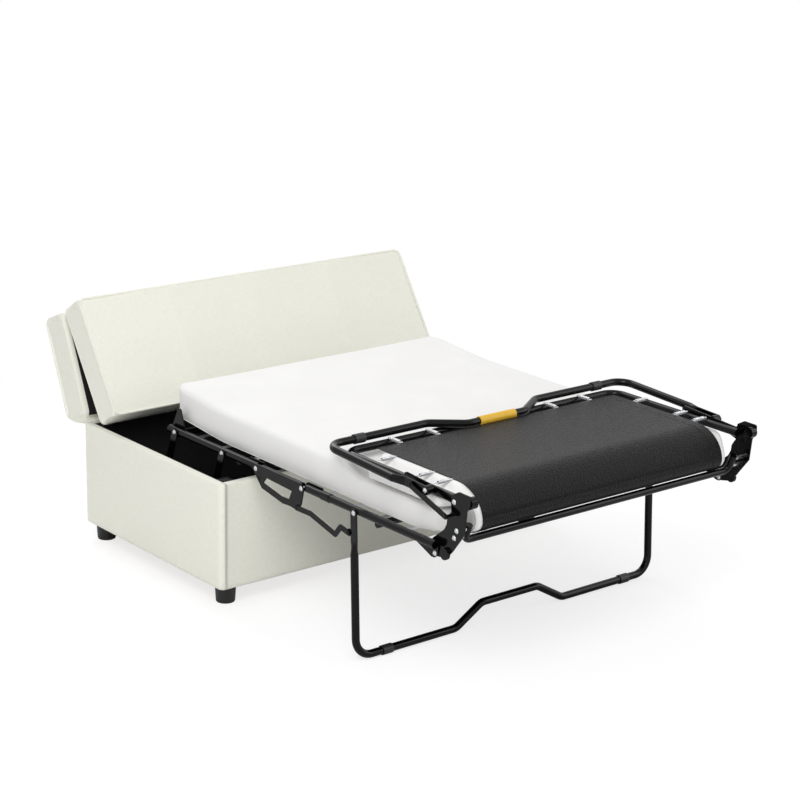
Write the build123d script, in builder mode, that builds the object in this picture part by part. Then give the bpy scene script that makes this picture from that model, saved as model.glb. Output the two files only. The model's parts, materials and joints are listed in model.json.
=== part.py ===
"""A storage sofa bed, half open, in millimetres.

An upholstered box stands on four feet. Its lid is two padded slabs that fold back as a
backrest. A steel bed frame comes out over the front of the box: a head section on lift
links, a double fold, a middle section on a bent leg, and a foot section that still lies
folded on the mattress. +Z is up, +Y points to the back, and the origin is on the floor
under the middle of the object.
"""

import os
from math import atan2, cos, degrees, hypot, radians, sin, sqrt

from build123d import *

os.makedirs("parts", exist_ok=True)

# Box
width = 1188.0
depth = 700.0
body_height = 300.0
foot_height = 51.0
foot_diameter = 59.0
foot_taper = 3.0
foot_inset = 44.0
cover_thickness = 5.0
cover_corner_radius = 14.0
panel_thickness = 16.0
floor_thickness = 12.0
post_size = 38.0
lining_thickness = 1.5
lining_drop = 3.0

# Lid: two padded slabs on strap hinges
lid_lean = 22.9
flap_lean = 33.0
lid_pivot_inset = 8.0
apex_distance = 332.0
slab_thickness = 108.0
back_slab_tail = 8.0
split_gap = 2.0
flap_length = 372.0
slab_edge_radius = 25.0
slab_end_crown = 9.0
slab_joint_crown = 0.9
slab_tail_crown = 24.0
slab_tail_heel = 18.0
slab_side_crown = 4.0
seam_depth = 5.0
panel_count = 4
board_thickness = 12.0
board_margin = 24.0
knuckle_radius = 4.0
knuckle_length = 24.0
leaf_thickness = 2.0
leaf_length = 80.0
leaf_width = 26.0
box_leaf_width = 9.0
hinge_spacing = 400.0
hinge_pin_radius = 2.0

# Bed frame: rails and cross tubes
rail_margin = 63.0
rail_radius = 10.5
rail_z = 402.0
cross_radius = 9.5
cross_drop = 14.0
head_back = 372.0
head_cross_back = 350.0
head_cross_front = 40.0
end_plate_rise = 62.0
end_plate_length = 58.0
end_plate_lean = 26.0
plate_thickness = 3.5
plate_weld = 0.8
layer_gap = 0.5
tube_gap = 0.3
pivot_stop = 8.0
tongue_length = 60.0
plate_radius = 12.0
pin_radius = 4.0
pin_clearance = 0.08
head_radius = 7.0
head_rise = 2.6
rivet_gap = 0.3

# Double fold between the head and middle sections
link_rear_reach = 60.0
link_front_reach = 262.0
link_bow_drop = 60.0
link_strap = 15.0

# Lift links under the head section
lift_top_front = 99.0
lift_top_rear = 330.0
lift_run = 68.0
lift_drop = 206.0
lift_width = 24.0
bracket_height = 120.0
bracket_margin = 40.0
bracket_boss_radius = 11.0

# Middle section and its bent leg
mid_end_reach = 785.0
mid_cross_reach = 560.0
sleeve_reach = 354.0
sleeve_length = 34.0
sleeve_wall = 1.6
leg_pivot_reach = 482.0
leg_pivot_drop = 4.0
leg_base_reach = 500.0
leg_radius = 10.5
leg_corner_radius = 50.0
leg_notch_rise = 52.0
notch_low_x = 190.0
notch_high_x = 100.0
notch_radius = 38.0
tongue_run = 76.0
flatten_run = 34.0
tongue_width = 24.0
glide_radius = 13.0
glide_length = 32.0
glide_margin = 86.0
brace_step = 17.0
brace_drop = 56.0
brace_width = 14.0
gusset_length = 100.0

# Hinge plates at the foot fold
fold_pivot_reach = 771.4
fold_pivot_drop = 27.3
foot_pivot_step = 61.9
foot_pivot_rise = 146.4
boss_radius = 15.0
top_boss_length = 18.0
low_boss_length = 8.0
bar_radius = 9.5
bar_margin = 50.0
bar_reach = 831.0
bar_rise = 14.6
bar_spacer_radius = 6.5
bar_end_step = 18.0
bar_end_rise = 45.0
bar_corner_radius = 20.0

# Foot section, folded on top
foot_rail_margin = 36.0
foot_rail_rise = 0.0
foot_end_reach = 378.0
foot_start_reach = 845.0
foot_corner_radius = 42.0
foot_arm_run = 190.0
foot_arm_width = 20.0
foot_leg_pivot_run = 92.0
foot_leg_pivot_rise = 6.0
foot_leg_outset = 10.0
foot_leg_run = 378.7
foot_leg_rise = 17.0
foot_leg_corner_radius = 45.0
foot_notch_rise = 58.0
foot_glide_margin = 93.0
grip_length = 124.0
grip_wall = 2.2
foot_brace_crank = 50.0
foot_boss_radius = 12.0
lug_radius = 10.0
foot_spacer_length = 19.3
foot_brace_plate_step = 7.0
foot_brace_plate_drop = 34.2
foot_brace_gap = 3.9

# Decks, springs and mattress
deck_thickness = 1.5
deck_margin = 94.0
deck_gap = 1.0
deck_corner = 10.0
foot_deck_lift = 14.0
fold_deck_reach = 748.0
spring_radius = 4.8
spring_wire = 1.3
hidden_spring_radius = 4.0
hidden_spring_lap = 8.0
mattress_margin = 27.0
mattress_height = 102.0
pressed_height = 71.0
mattress_back = 415.0
mattress_corner_radius = 55.0
mattress_edge_radius = 16.0
mattress_gap = 0.3
press_start_reach = 345.0
press_end_reach = 450.0
mid_mattress_reach = 275.0
head_mattress_reach = 50.0
fold_mattress_reach = 745.0
fold_reach = 751.0
nose_run = 98.0
nose_rise = 53.0
foot_mattress_end_reach = 462.0
foot_shoulder_margin = 95.0
foot_shoulder_drop = 11.5
fold_margin = 70.0
fold_edge_radius = 60.0
fold_bottom_lift = 10.5

# Places that follow from the sizes
overrun = 10.0
rim_z = foot_height + body_height
core_width = width - 2 * cover_thickness
core_depth = depth - 2 * cover_thickness
cavity_width = core_width - 2 * panel_thickness
cavity_depth = core_depth - 2 * panel_thickness
lid_up = (sin(radians(lid_lean)), cos(radians(lid_lean)))
lid_out = (cos(radians(lid_lean)), -sin(radians(lid_lean)))
flap_down = (-sin(radians(flap_lean)), -cos(radians(flap_lean)))
slab_bottom = knuckle_radius
slab_top = knuckle_radius + slab_thickness
back_slab_end = apex_distance - split_gap
deck_z = rail_z - deck_gap
deck_top_z = deck_z + deck_thickness
mattress_z = deck_top_z + mattress_gap
mattress_top_z = mattress_z + mattress_height
pressed_z = mattress_z + pressed_height
foot_pivot_reach = fold_pivot_reach + foot_pivot_step
fold_pivot_z = rail_z - fold_pivot_drop
foot_pivot_z = fold_pivot_z + foot_pivot_rise
foot_rail_z = foot_pivot_z + foot_rail_rise
foot_deck_z = foot_rail_z + foot_deck_lift
foot_foam_top_z = foot_deck_z - mattress_gap
fold_bottom_z = rail_z + fold_bottom_lift
nose_z = rail_z + nose_rise
plate_run = hypot(foot_pivot_step, foot_pivot_rise)
plate_up = (-foot_pivot_step / plate_run, foot_pivot_rise / plate_run)

# Hinge plate: shares of the distance between its two pivots, along it and outboard
hinge_outline_shares = (
    (0.97, -0.06),
    (0.83, 0.01),
    (0.68, -0.02),
    (0.58, 0.01),
    (0.47, 0.0),
    (0.19, -0.15),
    (0.05, -0.20),
    (-0.09, -0.05),
    (0.0, 0.10),
    (0.10, 0.24),
    (0.26, 0.30),
    (0.68, 0.41),
    (0.94, 0.33),
    (1.04, 0.30),
    (1.17, 0.33),
    (1.31, 0.27),
    (1.21, 0.02),
    (1.08, -0.08),
)
hinge_fillet_share = 0.035
low_boss_shares = (0.15, 0.20)
top_boss_shares = (1.17, 0.26)
bar_rivet_shares = (0.32, 0.78)

# The object is centred between its foremost boss and the rearmost corner of the lid
lid_rear = (
    depth
    - lid_pivot_inset
    + (back_slab_end - slab_edge_radius) * lid_up[0]
    + (slab_top - slab_edge_radius) * lid_out[0]
    + slab_edge_radius
)
top_boss_reach = (
    fold_pivot_reach
    + top_boss_shares[0] * foot_pivot_step
    + top_boss_shares[1] * foot_pivot_rise
)
front_y = (top_boss_reach + boss_radius - lid_rear) / 2
box_y = front_y + depth / 2

# Places across the bed, as distances from its middle that follow the box's width
rail_x = cavity_width / 2 - rail_margin
glide_x = rail_x - glide_margin
bar_x = rail_x - bar_margin
foot_rail_x = rail_x - foot_rail_margin
foot_leg_x = rail_x + foot_leg_outset
foot_glide_x = rail_x - foot_glide_margin
deck_half_width = rail_x - deck_margin
mattress_half_width = rail_x - mattress_margin
foot_shoulder_half_width = rail_x - foot_shoulder_margin
fold_half_width = rail_x - fold_margin

# Layers of plates beside the rails, as distances from the middle of the bed
layer_one = rail_x + rail_radius + tube_gap
layer_two = layer_one + plate_thickness + layer_gap
layer_three = layer_two + plate_thickness
tongue_inner = rail_x - rail_radius - plate_thickness + plate_weld
hinge_outer = tongue_inner - layer_gap
hinge_inner = hinge_outer - plate_thickness
leg_x = layer_one + plate_thickness / 2
foot_arm_x = foot_rail_x + rail_radius - plate_weld
foot_tongue_x = foot_arm_x + plate_thickness + foot_spacer_length + layer_gap
foot_brace_x = foot_tongue_x + plate_thickness + foot_brace_gap

# Pivots as (y, z)
lid_pivot = (front_y + depth - lid_pivot_inset, rim_z + knuckle_radius)
apex_pivot = (
    lid_pivot[0] + apex_distance * lid_up[0],
    lid_pivot[1] + apex_distance * lid_up[1],
)
link_rear = (front_y - link_rear_reach, rail_z)
link_front = (front_y - link_front_reach, rail_z)
leg_pivot = (front_y - leg_pivot_reach, rail_z - leg_pivot_drop)
brace_on_leg = (leg_pivot[0] + brace_step, leg_pivot[1] - brace_drop)
brace_on_link = (link_front[0] + brace_step, link_front[1] - brace_drop)
fold_pivot = (front_y - fold_pivot_reach, fold_pivot_z)
foot_pivot = (front_y - foot_pivot_reach, foot_pivot_z)
foot_leg_pivot = (foot_pivot[0] + foot_leg_pivot_run, foot_pivot[1] + foot_leg_pivot_rise)
foot_brace_plate = (
    foot_pivot[0] + foot_brace_plate_step,
    foot_pivot[1] - foot_brace_plate_drop,
)

# Small roundings and tapers, as shares of the size that carries them
cover_fillet_share = 0.9
slab_corner_share = 0.8
head_taper_share = 0.55
link_corner_share = 0.25
gusset_corner_share = 0.4
link_web_share = 0.33

# Fold link outline between its two pivots: share of the span, share of the bow's drop
link_outline_shares = (
    (0.0, 0.22),
    (-0.055, 0.0),
    (-0.03, -0.2),
    (0.14, -0.78),
    (0.60, -1.05),
    (0.76, -1.02),
    (0.92, -1.06),
    (1.0, -0.75),
    (1.055, 0.0),
    (1.0, 0.22),
)
link_window_shares = ((0.17, -0.52), (0.57, -0.76), (0.74, -0.74), (0.80, -0.30), (0.24, -0.22))

# Brace between fold link and leg: share of its length from the link, share of its drop
brace_shares = ((0.28, 0.04), (0.76, -0.38), (0.86, 0.10))

# Places of the springs, as shares of a deck's run or of its half width
head_spring_shares = (0.16, 0.5, 0.8)
mid_spring_shares = (0.18, 0.42, 0.64, 0.885)
foot_side_spring_shares = (0.25, 0.73, 0.95)
foot_end_spring_shares = (0.5, 0.8)


def keep(piece, name):
    """Label a finished piece and write its file."""
    piece.part.label = name
    export_step(piece.part, f"parts/{name}.step")


def toward(plane_point, direction, run, across=0.0):
    """The (y, z) point run along direction, and across to its clockwise side."""
    return (
        plane_point[0] + run * direction[0] + across * direction[1],
        plane_point[1] + run * direction[1] - across * direction[0],
    )


def side_plane(x):
    """The vertical plane across the bed at x, with local axes (y, z)."""
    return Plane.YZ.offset(x)


def front_plane(y):
    """The upright plane facing the front at y, with local axes (x, z)."""
    return Plane.XZ.offset(-y)


def slab_side_plane(pivot, direction, x):
    """A slab's own side plane: local x runs along it and local y through its padding."""
    return Plane(
        origin=(x, pivot[0], pivot[1]), x_dir=(0, direction[0], direction[1]), z_dir=(-1, 0, 0)
    )


def slab_end_plane(pivot, direction, run):
    """The plane square to a slab at run from its pivot, with local axes (x, padding)."""
    y, z = toward(pivot, direction, run)
    return Plane(origin=(0, y, z), x_dir=(1, 0, 0), z_dir=(0, direction[0], direction[1]))


# Plywood panels of the box, standing on its floor board inside the cover
panel_height = body_height - floor_thickness - cover_thickness
panel_bottom = foot_height + floor_thickness

with BuildPart() as box_floor:
    with BuildSketch(Plane.XY.offset(foot_height)):
        with Locations((0, box_y)):
            Rectangle(core_width, core_depth)
    extrude(amount=floor_thickness)
keep(box_floor, "box_floor")

for name, side in (("box_front_panel", -1), ("box_back_panel", 1)):
    with BuildPart() as panel:
        with BuildSketch(Plane.XY.offset(panel_bottom)):
            with Locations((0, box_y + side * (core_depth - panel_thickness) / 2)):
                Rectangle(core_width, panel_thickness)
        extrude(amount=panel_height)
    keep(panel, name)

for name, side in (("box_left_panel", -1), ("box_right_panel", 1)):
    with BuildPart() as panel:
        with BuildSketch(Plane.XY.offset(panel_bottom)):
            with Locations((side * (core_width - panel_thickness) / 2, box_y)):
                Rectangle(panel_thickness, cavity_depth)
        extrude(amount=panel_height)
    keep(panel, name)

with BuildPart() as box_corner_posts:
    with BuildSketch(Plane.XY.offset(panel_bottom)):
        with Locations((0, box_y)):
            with GridLocations(cavity_width - post_size, cavity_depth - post_size, 2, 2):
                Rectangle(post_size, post_size)
    extrude(amount=panel_height)
keep(box_corner_posts, "box_corner_posts")

# Upholstery pulled round the box and over its rim
with BuildPart() as box_cover:
    with BuildSketch(Plane.XY.offset(foot_height)):
        with Locations((0, box_y)):
            RectangleRounded(width, depth, cover_corner_radius)
    extrude(amount=body_height)
    fillet(box_cover.faces().sort_by(Axis.Z)[-1].outer_wire().edges(), cover_thickness * cover_fillet_share)
    with BuildSketch(Plane.XY.offset(foot_height)):
        with Locations((0, box_y)):
            Rectangle(core_width, core_depth)
    extrude(amount=body_height - cover_thickness, mode=Mode.SUBTRACT)
    with BuildSketch(Plane.XY.offset(foot_height)):
        with Locations((0, box_y)):
            Rectangle(cavity_width, cavity_depth)
    extrude(amount=body_height, mode=Mode.SUBTRACT)
keep(box_cover, "box_cover")

# Black cloth tray inside, notched round the corner posts
lining_height = rim_z - lining_drop - panel_bottom
with BuildPart() as box_lining:
    with BuildSketch(Plane.XY.offset(panel_bottom)):
        with Locations((0, box_y)):
            Rectangle(cavity_width, cavity_depth)
            with GridLocations(cavity_width - post_size, cavity_depth - post_size, 2, 2):
                Rectangle(post_size, post_size, mode=Mode.SUBTRACT)
    extrude(amount=lining_height)
    with BuildSketch(Plane.XY.offset(panel_bottom + lining_thickness)):
        with Locations((0, box_y)):
            Rectangle(cavity_width - 2 * lining_thickness, cavity_depth - 2 * lining_thickness)
            with GridLocations(cavity_width - post_size, cavity_depth - post_size, 2, 2):
                Rectangle(
                    post_size + 2 * lining_thickness,
                    post_size + 2 * lining_thickness,
                    mode=Mode.SUBTRACT,
                )
    extrude(amount=lining_height, mode=Mode.SUBTRACT)
keep(box_lining, "box_lining")

# Short turned feet
for back_name, back_side in (("front", -1), ("back", 1)):
    for side_name, side in (("left", -1), ("right", 1)):
        foot_x = side * (width / 2 - foot_inset)
        foot_y = box_y + back_side * (depth / 2 - foot_inset)
        with BuildPart() as foot:
            with BuildSketch(Plane.XY):
                with Locations((foot_x, foot_y)):
                    Circle(foot_diameter / 2 - foot_taper)
            with BuildSketch(Plane.XY.offset(foot_height)):
                with Locations((foot_x, foot_y)):
                    Circle(foot_diameter / 2)
            loft()
        keep(foot, f"foot_{back_name}_{side_name}")


def slab_cushion(pivot, direction, start, end):
    """A padded slab: crowned ends, four crowned panels between seams, soft corners."""
    depth_middle = (slab_bottom + slab_top) / 2
    seam_level = slab_top - seam_depth
    edge_x = width / 2 - slab_side_crown
    pitch = 2 * edge_x / panel_count
    slab_length = end - start
    with BuildPart() as cushion:
        with BuildSketch(slab_side_plane(pivot, direction, width / 2)) as outline:
            with BuildLine():
                Line((start + end_heel(start), slab_bottom), (end, slab_bottom))
                ThreePointArc(
                    (end, slab_bottom),
                    (end + end_crown(end), depth_middle),
                    (end, slab_top),
                )
                Line((end, slab_top), (start, slab_top))
                ThreePointArc(
                    (start, slab_top),
                    (start - end_crown(start), depth_middle),
                    (start + end_heel(start), slab_bottom),
                )
            make_face()
            fillet(outline.vertices(), slab_edge_radius)
        extrude(amount=width)
        with BuildSketch(slab_end_plane(pivot, direction, start - slab_length)) as face:
            with BuildLine():
                Line((-edge_x, slab_bottom), (edge_x, slab_bottom))
                ThreePointArc(
                    (edge_x, slab_bottom),
                    (edge_x + slab_side_crown, depth_middle),
                    (edge_x, seam_level),
                )
                for panel_index in range(panel_count):
                    right = edge_x - panel_index * pitch
                    ThreePointArc(
                        (right, seam_level),
                        (right - pitch / 2, slab_top),
                        (right - pitch, seam_level),
                    )
                ThreePointArc(
                    (-edge_x, seam_level),
                    (-edge_x - slab_side_crown, depth_middle),
                    (-edge_x, slab_bottom),
                )
            make_face()
            corners = face.vertices().group_by(Axis.X)
            fillet(corners[0] + corners[-1], slab_edge_radius * slab_corner_share)
        extrude(amount=3 * slab_length, mode=Mode.INTERSECT)
        with BuildSketch(slab_side_plane(pivot, direction, board_x)):
            with Locations(((start + end) / 2, slab_bottom + board_thickness / 2)):
                Rectangle(end - start - 2 * board_margin, board_thickness)
        extrude(amount=2 * board_x, mode=Mode.SUBTRACT)
    return cushion


def end_crown(place):
    """Ends that meet at the apex stay flat, so that the slabs can lie in one plane."""
    if place in (back_slab_end, split_gap):
        return slab_joint_crown
    if place == -back_slab_tail:
        return slab_tail_crown
    return slab_end_crown


def end_heel(place):
    """The tail's underside starts later, so that it swings clear of the box's rear edge."""
    return slab_tail_heel if place == -back_slab_tail else 0.0


def slab_board(pivot, direction, start, end):
    """The board set into a slab's underside."""
    with BuildPart() as board:
        with BuildSketch(slab_side_plane(pivot, direction, board_x)):
            with Locations(((start + end) / 2, slab_bottom + board_thickness / 2)):
                Rectangle(end - start - 2 * board_margin, board_thickness)
        extrude(amount=2 * board_x)
    return board


board_x = width / 2 - board_margin
keep(slab_cushion(lid_pivot, lid_up, -back_slab_tail, back_slab_end), "lid_back_cushion")
keep(slab_board(lid_pivot, lid_up, -back_slab_tail, back_slab_end), "lid_back_board")
keep(slab_cushion(apex_pivot, flap_down, split_gap, flap_length), "lid_flap_cushion")
keep(slab_board(apex_pivot, flap_down, split_gap, flap_length), "lid_flap_board")


def knuckle_centres(outer):
    """Places along X of the knuckles: the outer pair or the middle one of each hinge."""
    shifts = (-knuckle_length, knuckle_length) if outer else (0.0,)
    return [
        hinge * hinge_spacing + shift for hinge in (-1, 0, 1) for shift in shifts
    ]


def knuckles(pivot, outer):
    """Barrels of a strap hinge, bored for the pin; the outer pair holds the pin tight."""
    spacing = tube_gap / 2
    for x in knuckle_centres(outer):
        with Locations((x, pivot[0], pivot[1])):
            Cylinder(knuckle_radius, knuckle_length - 2 * spacing, rotation=(0, 90, 0))


def pin_bores(pivot):
    """Clear the middle knuckles for the pins."""
    for hinge in (-1, 0, 1):
        with Locations((hinge * hinge_spacing, pivot[0], pivot[1])):
            Cylinder(
                hinge_pin_radius + pin_clearance,
                leaf_length,
                rotation=(0, 90, 0),
                mode=Mode.SUBTRACT,
            )


def hinge_pins(pivot):
    """The pins, one solid with the outer knuckles."""
    for hinge in (-1, 0, 1):
        with Locations((hinge * hinge_spacing, pivot[0], pivot[1])):
            Cylinder(hinge_pin_radius, leaf_length - overrun, rotation=(0, 90, 0))


def slab_leaf(pivot, direction, inner):
    """A leaf under a slab, ending tangent to its barrel."""
    for x in knuckle_centres(inner):
        plane = slab_side_plane(pivot, direction, x + knuckle_length / 2 - tube_gap / 2)
        with BuildSketch(plane) as leaf:
            with Locations((leaf_width / 2, slab_bottom - leaf_thickness / 2)):
                Rectangle(leaf_width, leaf_thickness)
        extrude(leaf.sketch, amount=knuckle_length - tube_gap)


with BuildPart() as lid_hinge_box_leaves:
    knuckles(lid_pivot, True)
    hinge_pins(lid_pivot)
    for x in knuckle_centres(True):
        with BuildSketch(side_plane(x - knuckle_length / 2 + tube_gap / 2)):
            with Locations((lid_pivot[0] - box_leaf_width / 2, rim_z + leaf_thickness / 2)):
                Rectangle(box_leaf_width, leaf_thickness)
        extrude(amount=knuckle_length - tube_gap)
keep(lid_hinge_box_leaves, "lid_hinge_box_leaves")

with BuildPart() as lid_hinge_lid_leaves:
    knuckles(lid_pivot, False)
    slab_leaf(lid_pivot, lid_up, False)
    pin_bores(lid_pivot)
keep(lid_hinge_lid_leaves, "lid_hinge_lid_leaves")

with BuildPart() as apex_hinge_back_leaves:
    knuckles(apex_pivot, True)
    hinge_pins(apex_pivot)
    for x in knuckle_centres(True):
        plane = slab_side_plane(apex_pivot, lid_up, x + knuckle_length / 2 - tube_gap / 2)
        with BuildSketch(plane):
            with Locations((-leaf_width / 2, slab_bottom - leaf_thickness / 2)):
                Rectangle(leaf_width, leaf_thickness)
        extrude(amount=knuckle_length - tube_gap)
keep(apex_hinge_back_leaves, "apex_hinge_back_leaves")

with BuildPart() as apex_hinge_flap_leaves:
    knuckles(apex_pivot, False)
    slab_leaf(apex_pivot, flap_down, False)
    pin_bores(apex_pivot)
keep(apex_hinge_flap_leaves, "apex_hinge_flap_leaves")


def pivot_pins(place, inner, outer, inner_head=False):
    """A pin on each side of the bed at (y, z) from inner to outer, with one or two heads."""
    for side in (-1, 1):
        with Locations((side * (inner + outer) / 2, place[0], place[1])):
            Cylinder(pin_radius, outer - inner, rotation=(0, 90, 0))
        with Locations((side * (outer + head_rise / 2), place[0], place[1])):
            Cone(head_radius, head_radius * head_taper_share, head_rise, rotation=(0, side * 90, 0))
        if inner_head:
            with Locations((side * (inner - head_rise / 2), place[0], place[1])):
                Cone(
                    head_radius,
                    head_radius * head_taper_share,
                    head_rise,
                    rotation=(0, -side * 90, 0),
                )


def pin_hole(place, x, radius):
    """Drill a plate or tube at (y, z) near x."""
    with Locations((x, place[0], place[1])):
        Cylinder(radius, 2 * rail_radius, rotation=(0, 90, 0), mode=Mode.SUBTRACT)


def rail_tube(side, x, start, end):
    """A straight tube along Y from start back to end."""
    with BuildSketch(front_plane(end)) as profile:
        with Locations(Location((side * x, rail_z, 0), (0, 0, 90))):
            Circle(rail_radius)
    extrude(profile.sketch, amount=end - start)


def rail_tongue(side, pivot, direction):
    """A flat tongue on a rail's inner side, carrying the pivot past its end."""
    with BuildSketch(side_plane(side * tongue_inner)) as tongue:
        with Locations(pivot):
            Circle(plate_radius)
        with Locations((pivot[0] + direction * tongue_length / 2, pivot[1])):
            Rectangle(tongue_length, 2 * plate_radius)
        with Locations(pivot):
            Circle(pin_radius, mode=Mode.SUBTRACT)
    extrude(tongue.sketch, amount=side * plate_thickness)


# Head section, held over the box on lift links
head_start = link_rear[0] + pivot_stop
head_end = front_y + head_back
side_names = ((-1, "left"), (1, "right"))
lift_tops = ((front_y + lift_top_front, rail_z), (front_y + lift_top_rear, rail_z))

for side, side_name in side_names:
    with BuildPart() as head_rail:
        rail_tube(side, rail_x, head_start, head_end)
        rail_tongue(side, link_rear, 1)
        with BuildSketch(side_plane(side * tongue_inner)):
            with BuildLine():
                Polyline(
                    (head_end, rail_z - rail_radius),
                    (head_end, rail_z + rail_radius),
                    (head_end - end_plate_lean, rail_z + end_plate_rise),
                    (head_end - end_plate_lean - plate_radius, rail_z + end_plate_rise),
                    (head_end - end_plate_length, rail_z + rail_radius),
                    (head_end - end_plate_length, rail_z - rail_radius),
                    close=True,
                )
            make_face()
        extrude(amount=side * plate_thickness)
        for top in lift_tops:
            pin_hole(top, side * (rail_x + rail_radius), pin_radius)
    keep(head_rail, f"head_rail_{side_name}")

with BuildPart() as head_cross_tubes:
    with BuildSketch(Plane.YZ):
        for back in (head_cross_front, head_cross_back):
            with Locations((front_y + back, rail_z - cross_drop)):
                Circle(cross_radius)
    extrude(amount=rail_x, both=True)
    for side in (-1, 1):
        with BuildSketch(front_plane(head_end + overrun)):
            with Locations((side * rail_x, rail_z)):
                Circle(rail_radius)
        extrude(amount=head_back + 2 * overrun, mode=Mode.SUBTRACT)
        with BuildSketch(side_plane(side * (rail_x + overrun))):
            with Locations((front_y + depth / 2, rail_z)):
                Rectangle(depth, 2 * cross_drop + 2 * overrun)
        extrude(amount=-side * overrun, mode=Mode.SUBTRACT)
        with BuildSketch(side_plane(side * tongue_inner)):
            with Locations((head_end - end_plate_length / 2, rail_z)):
                Rectangle(end_plate_length, 2 * rail_radius)
        extrude(amount=side * plate_thickness, mode=Mode.SUBTRACT)
keep(head_cross_tubes, "head_cross_tubes")

with BuildPart() as lift_links:
    for side in (-1, 1):
        for top in lift_tops:
            low = (top[0] + lift_run, top[1] - lift_drop)
            middle = ((top[0] + low[0]) / 2, (top[1] + low[1]) / 2)
            with BuildSketch(
                Plane(
                    origin=(side * layer_one, *middle),
                    x_dir=(0, lift_run, -lift_drop),
                    z_dir=(side, 0, 0),
                )
            ):
                SlotCenterToCenter(hypot(lift_run, lift_drop), lift_width)
            extrude(amount=plate_thickness)
            for place in (top, low):
                pin_hole(place, side * layer_one, pin_radius)
keep(lift_links, "lift_links")

bracket_x = cavity_width / 2 - lining_thickness
lift_lows = [(top[0] + lift_run, top[1] - lift_drop) for top in lift_tops]
for side, side_name in side_names:
    with BuildPart() as mount_bracket:
        with BuildSketch(side_plane(side * bracket_x)):
            with Locations(((lift_lows[0][0] + lift_lows[1][0]) / 2, lift_lows[0][1])):
                RectangleRounded(
                    lift_lows[1][0] - lift_lows[0][0] + 2 * bracket_margin,
                    bracket_height,
                    plate_radius,
                )
        extrude(amount=-side * plate_thickness)
        boss_run = bracket_x - layer_two - head_rise
        for low in lift_lows:
            with BuildSketch(side_plane(side * bracket_x)):
                with Locations(low):
                    Circle(bracket_boss_radius)
            extrude(amount=-side * boss_run)
    keep(mount_bracket, f"mount_bracket_{side_name}")

with BuildPart() as head_rivets:
    pivot_pins(link_rear, tongue_inner, layer_two - layer_gap + rivet_gap)
    for top in lift_tops:
        pivot_pins(top, rail_x, layer_two - layer_gap)
    for low in lift_lows:
        pivot_pins(low, layer_one, layer_two - layer_gap)
keep(head_rivets, "head_rivets")

# Double fold: a bowed plate and a short rail on each side
span = link_rear[0] - link_front[0]
for side, side_name in side_names:
    with BuildPart() as fold_link:
        with BuildSketch(side_plane(side * layer_one)) as plate:
            with BuildLine():
                Polyline(
                    *[
                        (link_rear[0] - along * span, rail_z + drop * link_bow_drop)
                        for along, drop in link_outline_shares
                    ],
                    close=True,
                )
            make_face()
            fillet(plate.vertices(), link_strap * link_corner_share)
            with BuildLine():
                Polyline(
                    *[
                        (link_rear[0] - along * span, rail_z + drop * link_bow_drop)
                        for along, drop in link_window_shares
                    ],
                    close=True,
                )
            make_face(mode=Mode.SUBTRACT)
            for pivot in (link_rear, link_front):
                with Locations(pivot):
                    Circle(pin_radius + pin_clearance, mode=Mode.SUBTRACT)
        extrude(amount=side * plate_thickness)
        with BuildSketch(front_plane(link_rear[0] - plate_radius - tube_gap)):
            with Locations(Location((side * rail_x, rail_z, 0), (0, 0, 90))):
                Circle(rail_radius)
        extrude(amount=span - 2 * (plate_radius + tube_gap))
        with BuildSketch(side_plane(side * rail_x)):
            with Locations(((link_rear[0] + link_front[0]) / 2, rail_z)):
                Rectangle(span * link_web_share, rail_radius)
        extrude(amount=side * (layer_one - rail_x))
        with BuildSketch(side_plane(side * (layer_two - layer_gap))):
            with Locations(brace_on_link):
                Circle(pin_radius)
        extrude(amount=side * (layer_gap - rivet_gap / 2))
    keep(fold_link, f"fold_link_{side_name}")

# Middle section
mid_start = link_front[0] - pivot_stop
mid_end = front_y - mid_end_reach
gusset_end = fold_pivot[0]
for side, side_name in side_names:
    with BuildPart() as mid_rail:
        rail_tube(side, rail_x, mid_end, mid_start)
        rail_tongue(side, link_front, -1)
        with BuildSketch(front_plane(front_y - sleeve_reach + sleeve_length / 2)):
            with Locations(Location((side * rail_x, rail_z, 0), (0, 0, 90))):
                Circle(rail_radius + sleeve_wall)
            with Locations((side * (layer_one + rail_radius), rail_z)):
                Rectangle(2 * rail_radius, 4 * rail_radius, mode=Mode.SUBTRACT)
        extrude(amount=sleeve_length)
        with BuildSketch(side_plane(side * tongue_inner)) as gusset:
            with BuildLine():
                Polyline(
                    (gusset_end + gusset_length, rail_z - rail_radius / 2),
                    (gusset_end + gusset_length, rail_z + rail_radius / 2),
                    (mid_end, rail_z + rail_radius / 2),
                    (gusset_end - plate_radius, fold_pivot_z),
                    (gusset_end, fold_pivot_z - plate_radius),
                    (gusset_end + plate_radius, fold_pivot_z - plate_radius),
                    close=True,
                )
            make_face()
            fillet(gusset.vertices(), rail_radius * gusset_corner_share)
        extrude(amount=side * plate_thickness)
        pin_hole(fold_pivot, side * tongue_inner, pin_radius)
        pin_hole(leg_pivot, side * (rail_x + rail_radius), pin_radius)
    keep(mid_rail, f"mid_rail_{side_name}")

with BuildPart() as mid_cross_tube:
    with BuildSketch(Plane.YZ):
        with Locations((front_y - mid_cross_reach, rail_z - cross_drop)):
            Circle(cross_radius)
    extrude(amount=rail_x, both=True)
    for side in (-1, 1):
        with BuildSketch(front_plane(mid_start)):
            with Locations((side * rail_x, rail_z)):
                Circle(rail_radius)
        extrude(amount=mid_start - mid_end, mode=Mode.SUBTRACT)
keep(mid_cross_tube, "mid_cross_tube")

with BuildPart() as mid_rivets:
    pivot_pins(link_front, tongue_inner, layer_two - layer_gap + rivet_gap)
    pivot_pins(leg_pivot, rail_x, layer_two - layer_gap + rivet_gap)
    pivot_pins(fold_pivot, hinge_inner - rivet_gap, tongue_inner + plate_thickness, True)
keep(mid_rivets, "mid_rivets")


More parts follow.
